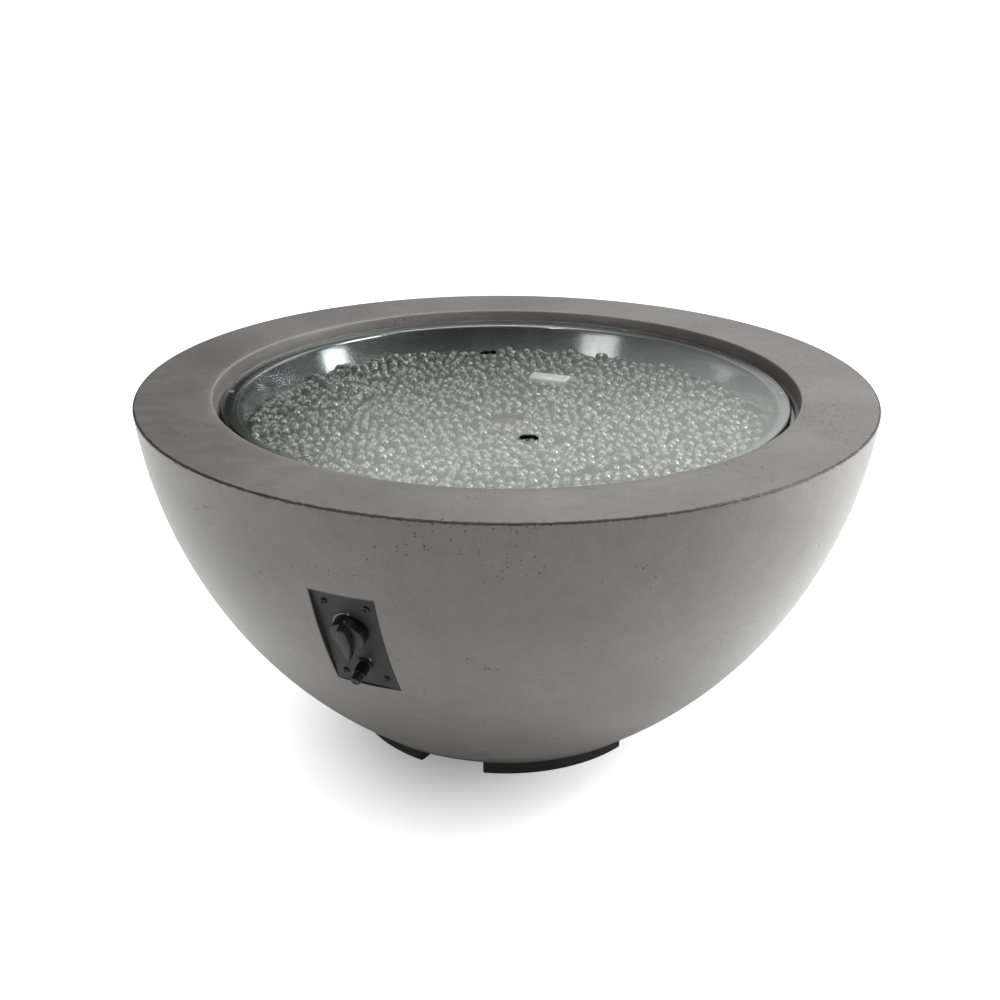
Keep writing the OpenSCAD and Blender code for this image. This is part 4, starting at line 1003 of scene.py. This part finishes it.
def top_gems(random):
    """Loose top of the bed: balls at different heights push each other apart sideways."""
    count = int(TOP_COVER * (PAN_FLOOR_R / GEM_R) ** 2)
    angle = random.uniform(0, 2 * math.pi, count)
    reach = PAN_FLOOR_R * np.sqrt(random.uniform(0, 1, count))
    height = GEM_HIGHEST_Z - GEM_R - TOP_WAVE * random.uniform(0, 1, count)
    gems = np.stack([reach * np.cos(angle), reach * np.sin(angle), height], axis=1)
    for _ in range(TOP_PASSES):
        push_apart(gems, 2)
        keep_clear(gems)
        gems[:, 2] = height
    return gems


def ball_shape():
    """Ball of sixty triangles: the hull of an icosahedron's corners and its face middles, all at radius 1."""
    work = bmesh.new()
    bmesh.ops.create_icosphere(work, subdivisions=1, radius=1.0)
    middles = [face.calc_center_median().normalized() for face in work.faces]
    bmesh.ops.delete(work, geom=work.faces[:], context="FACES_ONLY")
    for middle in middles:
        work.verts.new(middle)
    bmesh.ops.convex_hull(work, input=work.verts[:])
    bmesh.ops.delete(work, geom=[e for e in work.edges if not e.link_faces], context="EDGES")
    bmesh.ops.recalc_face_normals(work, faces=work.faces)
    work.verts.index_update()
    points = np.array([v.co for v in work.verts])
    faces = np.array([[v.index for v in face.verts] for face in work.faces])
    work.free()
    return points, faces


def make_gems():
    """Round gems: a ball for each place, its three axes stretched a little and turned at random."""
    random = np.random.default_rng(2769)
    places = np.concatenate([settle_gems(random), top_gems(random)])
    shape, faces = ball_shape()
    axes = np.linalg.qr(random.normal(size=(len(places), 3, 3)))[0]
    axes *= np.sign(np.linalg.det(axes))[:, None, None]
    sizes = GEM_R * random.uniform(0.82, 1.0, (len(places), 1)) * random.uniform(0.92, 1.04, (len(places), 3))
    points = np.einsum("nij,kj->nki", axes * sizes[:, None, :], shape) + places[:, None, :]
    names = ("gems_front", "gems_near_middle", "gems_far_middle", "gems_back")
    for name, chosen in zip(names, np.array_split(np.argsort(places[:, 1]), len(names))):
        index = faces[None] + len(shape) * np.arange(len(chosen))[:, None, None]
        balls = (points[chosen], [index.reshape(-1, 3)])
        add_piece(name, balls, "fire_bowl", "gem_glass", "fire_glass", sharp=180.0, outward=False)


# Pilot hood

HOOD_BEND = 0.003
HOOD_CORNER = 0.0002


def make_hood():
    """Folded sheet: front, roof and two sides with round bends, open behind and below."""
    corners = [(-HOOD_W / 2, 0), (HOOD_W / 2, 0), (HOOD_W / 2, HOOD_H), (-HOOD_W / 2, HOOD_H)]
    outline = rounded_outline(corners, [HOOD_CORNER, HOOD_CORNER, HOOD_BEND, HOOD_BEND], 5)
    x, z = outline.T
    insets = np.append(HOOD_BEND * (1 - np.sin(quarter(6))), 0.0)
    depths = np.append(HOOD_BEND * (1 - np.cos(quarter(6))), HOOD_D)
    rows = []
    for inset, depth in zip(insets, depths):
        drawn_z = np.where(z > HOOD_H / 2, z - inset, z)
        rows.append(np.column_stack([x - np.sign(x) * inset, np.full(len(x), depth), drawn_z]))
    half_w = HOOD_W / 2 - HOOD_SHEET
    low = (-half_w, HOOD_SHEET, -CUT_MARGIN)
    high = (half_w, HOOD_D + CUT_MARGIN, HOOD_H - HOOD_SHEET)
    cuts = [(box_shape(low, high), at_pilot)]
    add_piece("pilot_cover", loft(rows), "fire_bowl", "steel", "pilot_hood",
              finish="hood_steel", place=at_pilot, cuts=cuts)


# Control panel, knob and igniter

PANEL_EASE = 0.0005
PANEL_CORNER = 0.002
STEM_HOLE_R = 0.0081
MARK_HIGH = 0.00012
MARK_LOW = -0.0002
ARC_MARK_R = 0.0255
SCREW_HEAD_H = 0.0030
SCREW_SIDE_H = 0.0008
SCREW_PLACES = [(u, v) for u in (-SCREW_U, SCREW_U) for v in (-SCREW_V, SCREW_V)]
SLOT_L = 0.0026
SLOT_W = 0.0005
SLOT_DEPTH = 0.0016


def make_panel():
    """Flat plate with round corners: the outline is drawn in at the front edge, and two holes are cut."""
    soft = PANEL_EASE * 0.3
    rows = []
    for inset, w in ((0.0, -PANEL_T), (0.0, -PANEL_EASE), (soft, -soft), (PANEL_EASE, 0.0)):
        outline = rounded_rectangle(PANEL_W / 2 - inset, PANEL_H / 2 - inset, PANEL_CORNER, 5)
        rows.append(at_height(outline, w))
    holes = ((0, KNOB_V, STEM_HOLE_R), (IGNITER_U, IGNITER_V, BARREL_R + 0.0001))
    cuts = [(cylinder(radius, -0.01, 0.01, 48), at_panel(u, v)) for u, v, radius in holes]
    add_piece("panel_plate", loft(rows), "fire_bowl", "black_paint", "control_panel",
              place=on_panel, cuts=cuts)


def strip_on_panel(name, middle_line, width):
    """A thin printed band: two edges at half a width to each side of a line, raised off the plate."""
    line = np.asarray(middle_line, float)
    along = np.gradient(line, axis=0)
    side = np.stack([-along[:, 1], along[:, 0]], axis=1)
    side *= np.broadcast_to(width, len(line))[:, None] / 2 / np.linalg.norm(side, axis=1)[:, None]
    corners = ((1, MARK_LOW), (-1, MARK_LOW), (-1, MARK_HIGH), (1, MARK_HIGH))
    rows = np.stack([at_height(line + way * side, w) for way, w in corners], axis=1)
    add_piece(name, loft(rows), "fire_bowl", "black_paint", finish="mark_paint", place=on_panel)


def make_marks():
    """An arc about the knob's axis from the top to the left, a tick at each end, and one by the igniter."""
    arc = arc_points((0, KNOB_V), ARC_MARK_R, 100, 174, 23)
    strip_on_panel("arc_mark", arc, np.linspace(0.0011, 0.0014, len(arc)))
    strip_on_panel("top_tick", [(0.0005, KNOB_V + 0.0230), (-0.0005, KNOB_V + 0.0262)], 0.0022)
    strip_on_panel("left_tick", [(-0.0270, 0.0180), (-0.0225, 0.0190)], 0.0016)
    strip_on_panel("igniter_tick", [(0.0116, -0.0305), (0.0130, -0.0355)], 0.0016)


def make_screws():
    """Pan heads: a low dome turned about each screw's axis, with a cross recess of two crossed slots."""
    t = quarter(7)
    dome_h = SCREW_HEAD_H - SCREW_SIDE_H
    dome = np.stack([SCREW_HEAD_R * np.cos(t) ** 0.6, SCREW_SIDE_H + dome_h * np.sin(t)], axis=1)
    profile = np.concatenate([[(0, 0.0), (SCREW_HEAD_R, 0.0)], dome[:-1], [(0, SCREW_HEAD_H)]])
    heads = copies(revolve(profile, 32), [at_panel(u, v) for u, v in SCREW_PLACES])
    low_w = SCREW_HEAD_H - SLOT_DEPTH
    top_w = SCREW_HEAD_H + CUT_MARGIN
    slots = [box_shape((-a, -b, low_w), (a, b, top_w)) for a, b in ((SLOT_L, SLOT_W), (SLOT_W, SLOT_L))]
    cuts = [(slot_shape, at_panel(u, v)) for u, v in SCREW_PLACES for slot_shape in slots]
    add_piece("screw_heads", heads, "fire_bowl", "black_screw", "panel_screws", cuts=cuts)


KNOB_EASE = 0.0012
KNOB_FOOT_EASE = 0.0006
GRIP_ROUND = 0.0020
SPOT_R = 0.0019


def make_knob():
    """Tapered skirt, hollow over the valve's nut, and a grip between two arcs that shrinks towards its front.

    At a distance v from the axis along the grip, half its width is the height of an arc through both ends.
    """
    at_knob = at_panel(0, KNOB_V)
    t = quarter(5)
    top = KNOB_LIFT + SKIRT_H
    ease_r = KNOB_R - SKIRT_TAPER - KNOB_EASE
    shoulder = np.stack([ease_r + KNOB_EASE * np.cos(t), top - KNOB_EASE + KNOB_EASE * np.sin(t)], axis=1)
    foot = [(0, KNOB_ROOF), (KNOB_HOLLOW_R, KNOB_ROOF), (KNOB_HOLLOW_R, KNOB_LIFT)]
    foot += [(KNOB_R - KNOB_FOOT_EASE, KNOB_LIFT), (KNOB_R, KNOB_LIFT + KNOB_FOOT_EASE)]
    skirt = revolve(np.concatenate([foot, shoulder, [(0, top)]]), 128)
    add_piece("knob_skirt", skirt, "knob", "knob_plastic", "valve_knob", place=at_knob)

    lens_l = 2 * GRIP_REACH + GRIP_TIP_CUT
    arc_r = (lens_l ** 2 + GRIP_W ** 2) / (4 * GRIP_W)
    v = np.linspace(-GRIP_REACH, GRIP_L - GRIP_REACH, 41)
    half = np.sqrt(arc_r ** 2 - v ** 2) - (arc_r - GRIP_W / 2)
    outline = np.concatenate([np.stack([half, v], axis=1), np.stack([-half, v], axis=1)[::-1]])
    turn = quarter(7)
    insets = np.concatenate([[0.0], GRIP_ROUND * (1 - np.cos(turn))])
    levels = np.concatenate([[top - 0.001], KNOB_FRONT - GRIP_ROUND + GRIP_ROUND * np.sin(turn)])
    rows = []
    for inset, w in zip(insets, levels):
        ring_u = outline[:, 0] * (1 - inset / (GRIP_W / 2))
        ring_v = np.clip(outline[:, 1], -GRIP_REACH + inset, GRIP_L - GRIP_REACH - inset)
        rows.append(at_height(np.stack([ring_u, ring_v], axis=1), w))
    add_piece("knob_grip", loft(rows), "knob", "knob_plastic", place=at_knob)

    spot, spot_faces = cylinder(SPOT_R, -0.0004, 0.0001, 24)
    side_r = KNOB_R - SKIRT_TAPER * 0.5
    stood = np.stack([spot[:, 0], side_r + spot[:, 2], KNOB_LIFT + SKIRT_H * 0.55 + spot[:, 1]], axis=1)
    add_piece("knob_spot", (stood, spot_faces), "knob", "knob_plastic", finish="steel", place=at_knob)


def make_spring(name, node, place, low, length, coil_r, turns):
    """Coil of round wire: a circle of points carried along a helix."""
    turned = np.linspace(0, 2 * math.pi * turns, 24 * turns + 1)[:, None]
    around = np.linspace(0, 2 * math.pi, 8, endpoint=False)[None, :]
    reach = coil_r + SPRING_WIRE_R * np.cos(around)
    height = low + SPRING_WIRE_R + (length - 2 * SPRING_WIRE_R) * turned / turned[-1]
    height = height + SPRING_WIRE_R * np.sin(around)
    rows = np.stack([reach * np.cos(turned), reach * np.sin(turned), height], axis=2)
    coil = add_piece(name, loft(rows), "fire_bowl", "steel", node, place=at_panel(*place))
    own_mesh(coil)


NUT_OVER = 0.0025
NUT_H = 0.0030
RIB_COUNT = 14
RIB_DEPTH = 0.0007


def make_igniter():
    """Barrel and button: stepped profiles turned about their axis, the button's radius waved into ribs."""
    at_igniter = at_panel(IGNITER_U, IGNITER_V)
    bore = BUTTON_R + 0.0003
    nut_r = BARREL_R + NUT_OVER
    profile = [
        (bore, 0.001), (bore, BARREL_L - 0.0004), (bore + 0.0004, BARREL_L), (BARREL_R - 0.0008, BARREL_L),
        (BARREL_R, BARREL_L - 0.0008), (BARREL_R, NUT_H + 0.0004), (BARREL_R + 0.0003, NUT_H),
        (nut_r - 0.0005, NUT_H), (nut_r, NUT_H - 0.0005), (nut_r, 0.0), (BARREL_R, 0.0),
        (BARREL_R, -0.016), (bore, -0.016)]
    sleeve = revolve(profile, 64, closed_profile=True)
    add_piece("igniter_sleeve", sleeve, "fire_bowl", "igniter_plastic", "igniter_barrel", place=at_igniter)
    angle = np.linspace(0, 2 * math.pi, RIB_COUNT * 12, endpoint=False)
    wave = np.abs(np.cos(angle * RIB_COUNT / 2)) ** 3
    front = BARREL_L + BUTTON_L
    # Each level: how far it is drawn in, its height and how deep its ribs are
    levels = (
        (0.0, 0.009, 0.0), (0.0, BARREL_L + 0.0008, 0.0), (0.0, BARREL_L + 0.0014, 1.0),
        (0.0, front - 0.0014, 1.0), (0.0004, front - 0.0006, 0.5), (0.0012, front - 0.0001, 0.0),
        (0.0026, front - 0.0001, 0.0), (0.0032, front - 0.0007, 0.0))
    rows = []
    for inset, w, depth in levels:
        radius = BUTTON_R - inset - RIB_DEPTH * depth * wave
        rows.append(at_height(np.stack([radius * np.cos(angle), radius * np.sin(angle)], axis=1), w))
    add_piece("igniter_cap", loft(rows), "button", "igniter_plastic", "igniter_button", place=at_igniter)


make_bowl()
for number, foot_name in enumerate(("foot_front", "foot_right", "foot_back", "foot_left")):
    make_foot(foot_name + "_block", number)
make_pan()
make_cover()
make_bumpers()
make_gems()
make_hood()
make_panel()
make_marks()
make_screws()
make_knob()
make_igniter()
make_spring("plunger_coil", "plunger_spring", (0, KNOB_V),
            low=-0.044, length=0.021, coil_r=0.0040, turns=5)
make_spring("button_coil", "button_spring", (IGNITER_U, IGNITER_V),
            low=-0.014, length=0.023, coil_r=0.0043, turns=6)


# Camera

CAMERA_PLACE = Vector((-0.0089, -2.0208, 1.1452))
CAMERA_PITCH = math.radians(21.83)
CAMERA_ROLL = math.radians(0.22)
CAMERA_LENS = 51.8


def make_camera():
    """Looks along Y, pitched down, with its right and up turned by the roll."""
    lens = bpy.data.cameras.new("camera")
    lens.lens = CAMERA_LENS
    lens.sensor_width = 36.0
    lens.clip_end = 200.0
    camera = bpy.data.objects.new("camera", lens)
    pitch = Matrix.Rotation(math.pi / 2 - CAMERA_PITCH, 4, "X")
    camera.matrix_world = Matrix.Translation(CAMERA_PLACE) @ pitch @ Matrix.Rotation(CAMERA_ROLL, 4, "Z")
    bpy.context.scene.collection.objects.link(camera)
    bpy.context.scene.camera = camera


# Floor, light and world

FLOOR_REACH = 60.0
FLOOR_LIFT = 0.14
FLOOR_SHADE_MIDDLE = (-0.062, -0.03, 0.0)
FLOOR_SHADE_SHAPE = (1.45, 1.0, 1.0)
FLOOR_DARK_R = 0.04
FLOOR_WHITE_R = 0.49
MIRRORED_DARK_R = 0.25
MIRRORED_WHITE_R = 0.60
SKY_DIM = 0.02
BACK_LIGHT = 1.27
BACK_LEAN = 0.10
ZENITH_LIGHT = 2.4
LAMP_AIM = Vector((0, 0, 0.4))

# Name, azimuth and elevation in degrees, distance, width, height and radiance of each lamp
LAMPS = (
    ("top_glint", 40, 66, 3.0, 0.18, 0.18, 82.0),
    ("right_high", 95, 40, 3.0, 0.8, 0.8, 26.0),
    ("right_box", 88, 7, 2.6, 0.6, 0.9, 9.0),
    ("left_box", -132, 16, 3.0, 0.9, 0.9, 3.0),
    ("left_glint", -150, 52, 3.0, 0.3, 0.3, 15.0),
    ("right_low", 95, -4, 2.2, 1.6, 0.4, 1.7),
    ("left_low", -95, -4, 2.2, 1.6, 0.4, 0.6))


def make_floor():
    """Wide white floor, full white where nothing shades it, to the eye and in reflections.

    Its own glow grows from FLOOR_LIFT below the bowl to 1 round it, so the low glow paints a shadow of the
    bowl over the shade that the lamps cast. The painted shadow is an ellipse, longer from front to back, and
    in reflections and through glass it is a circle.
    """
    corners = [(x * FLOOR_REACH, y * FLOOR_REACH, 0) for x, y in ((-1, -1), (1, -1), (1, 1), (-1, 1))]
    mesh = bpy.data.meshes.new("floor")
    mesh.from_pydata(corners, [], [(0, 1, 2, 3)])
    floor = bpy.data.objects.new("floor", mesh)
    bpy.context.scene.collection.objects.link(floor)
    f = Finish("floor_paper")
    path = f.light_path()
    mirrored = f.math("MAXIMUM", path["Is Glossy Ray"], path["Is Transmission Ray"])
    shaped = f.vector("MULTIPLY", f.vector("SUBTRACT", f.place, FLOOR_SHADE_MIDDLE), FLOOR_SHADE_SHAPE)
    # Painted shadow: the glow is low in an ellipse under the bowl.
    lift = f.spread(f.vector("LENGTH", shaped), FLOOR_DARK_R, FLOOR_WHITE_R, FLOOR_LIFT, 1.0, smooth=True)
    away = f.vector("LENGTH", f.place)
    far_lift = f.spread(away, MIRRORED_DARK_R, MIRRORED_WHITE_R, FLOOR_LIFT, 1.0, smooth=True)
    lift = f.math("MULTIPLY_ADD", far_lift, mirrored, f.times(lift, path["Is Camera Ray"]))
    paper = f.add("ShaderNodeBsdfDiffuse", {"Color": (0.55, 0.55, 0.55, 1)}).outputs[0]
    glow = f.add("ShaderNodeEmission", {"Strength": lift}).outputs[0]
    f.put(f.surface, f.add("ShaderNodeAddShader", {0: paper, 1: glow}).outputs[0])
    f.tree.nodes.remove(f.shader)
    mesh.materials.append(f.material)


def make_lamp(name, azimuth, elevation, distance, width, height, radiance):
    """Soft box that faces the bowl's middle from a direction, azimuth from the back towards the right."""
    a = math.radians(azimuth)
    e = math.radians(elevation)
    away = Vector((math.sin(a) * math.cos(e), math.cos(a) * math.cos(e), math.sin(e)))
    light = bpy.data.lights.new(name, "AREA")
    light.shape = "RECTANGLE"
    light.size = width
    light.size_y = height
    light.energy = radiance * math.pi * width * height
    lamp = bpy.data.objects.new(name, light)
    lamp.location = LAMP_AIM + away * distance
    lamp.rotation_mode = "QUATERNION"
    lamp.rotation_quaternion = (-away).to_track_quat("-Z", "Y")
    lamp.visible_camera = False
    bpy.context.scene.collection.objects.link(lamp)


def make_world():
    """White to the eye. To the bowl: white at the horizon, soft light overhead, a bright field high behind.

    The field fades out to the left. Azimuth runs from the back towards the right, and the field's lower edge
    leans with it.
    """
    world = bpy.data.worlds.new("studio")
    bpy.context.scene.world = world
    world.use_nodes = True
    sky = Nodes(world.node_tree)

    def fade(value, start, end, to_low, to_high):
        return sky.spread(value, math.radians(start), math.radians(end), to_low, to_high, smooth=True)

    x, y, z = sky.split(sky.add("ShaderNodeTexCoord").outputs["Generated"])
    height = sky.math("ARCSINE", z)
    azimuth = sky.math("ARCTAN2", x, y)
    leaned = sky.math("MULTIPLY_ADD", azimuth, BACK_LEAN, height)
    horizon = fade(height, 4, 9, 1.0 - SKY_DIM, 0.0)
    left = fade(azimuth, -13, -4, 0.0, BACK_LIGHT)
    right = fade(azimuth, 50, 90, 1.0, 0.0)
    low = fade(leaned, 14.8, 20.8, 0.0, 1.0)
    high = fade(height, 40, 60, 1.0, 0.0)
    zenith = fade(height, 52, 78, 0.0, ZENITH_LIGHT)
    total = sky.plus(sky.times(left, right, low, high), horizon, zenith, SKY_DIM)
    lit = sky.add("ShaderNodeBackground", {"Strength": total}).outputs[0]
    white = sky.add("ShaderNodeBackground", {"Color": (1, 1, 1, 1)}).outputs[0]
    sky.add("ShaderNodeOutputWorld", {"Surface": sky.either(sky.light_path()["Is Camera Ray"], lit, white)})


make_camera()
make_floor()
make_world()
for lamp_row in LAMPS:
    make_lamp(*lamp_row)

bpy.context.scene.view_settings.view_transform = "Standard"
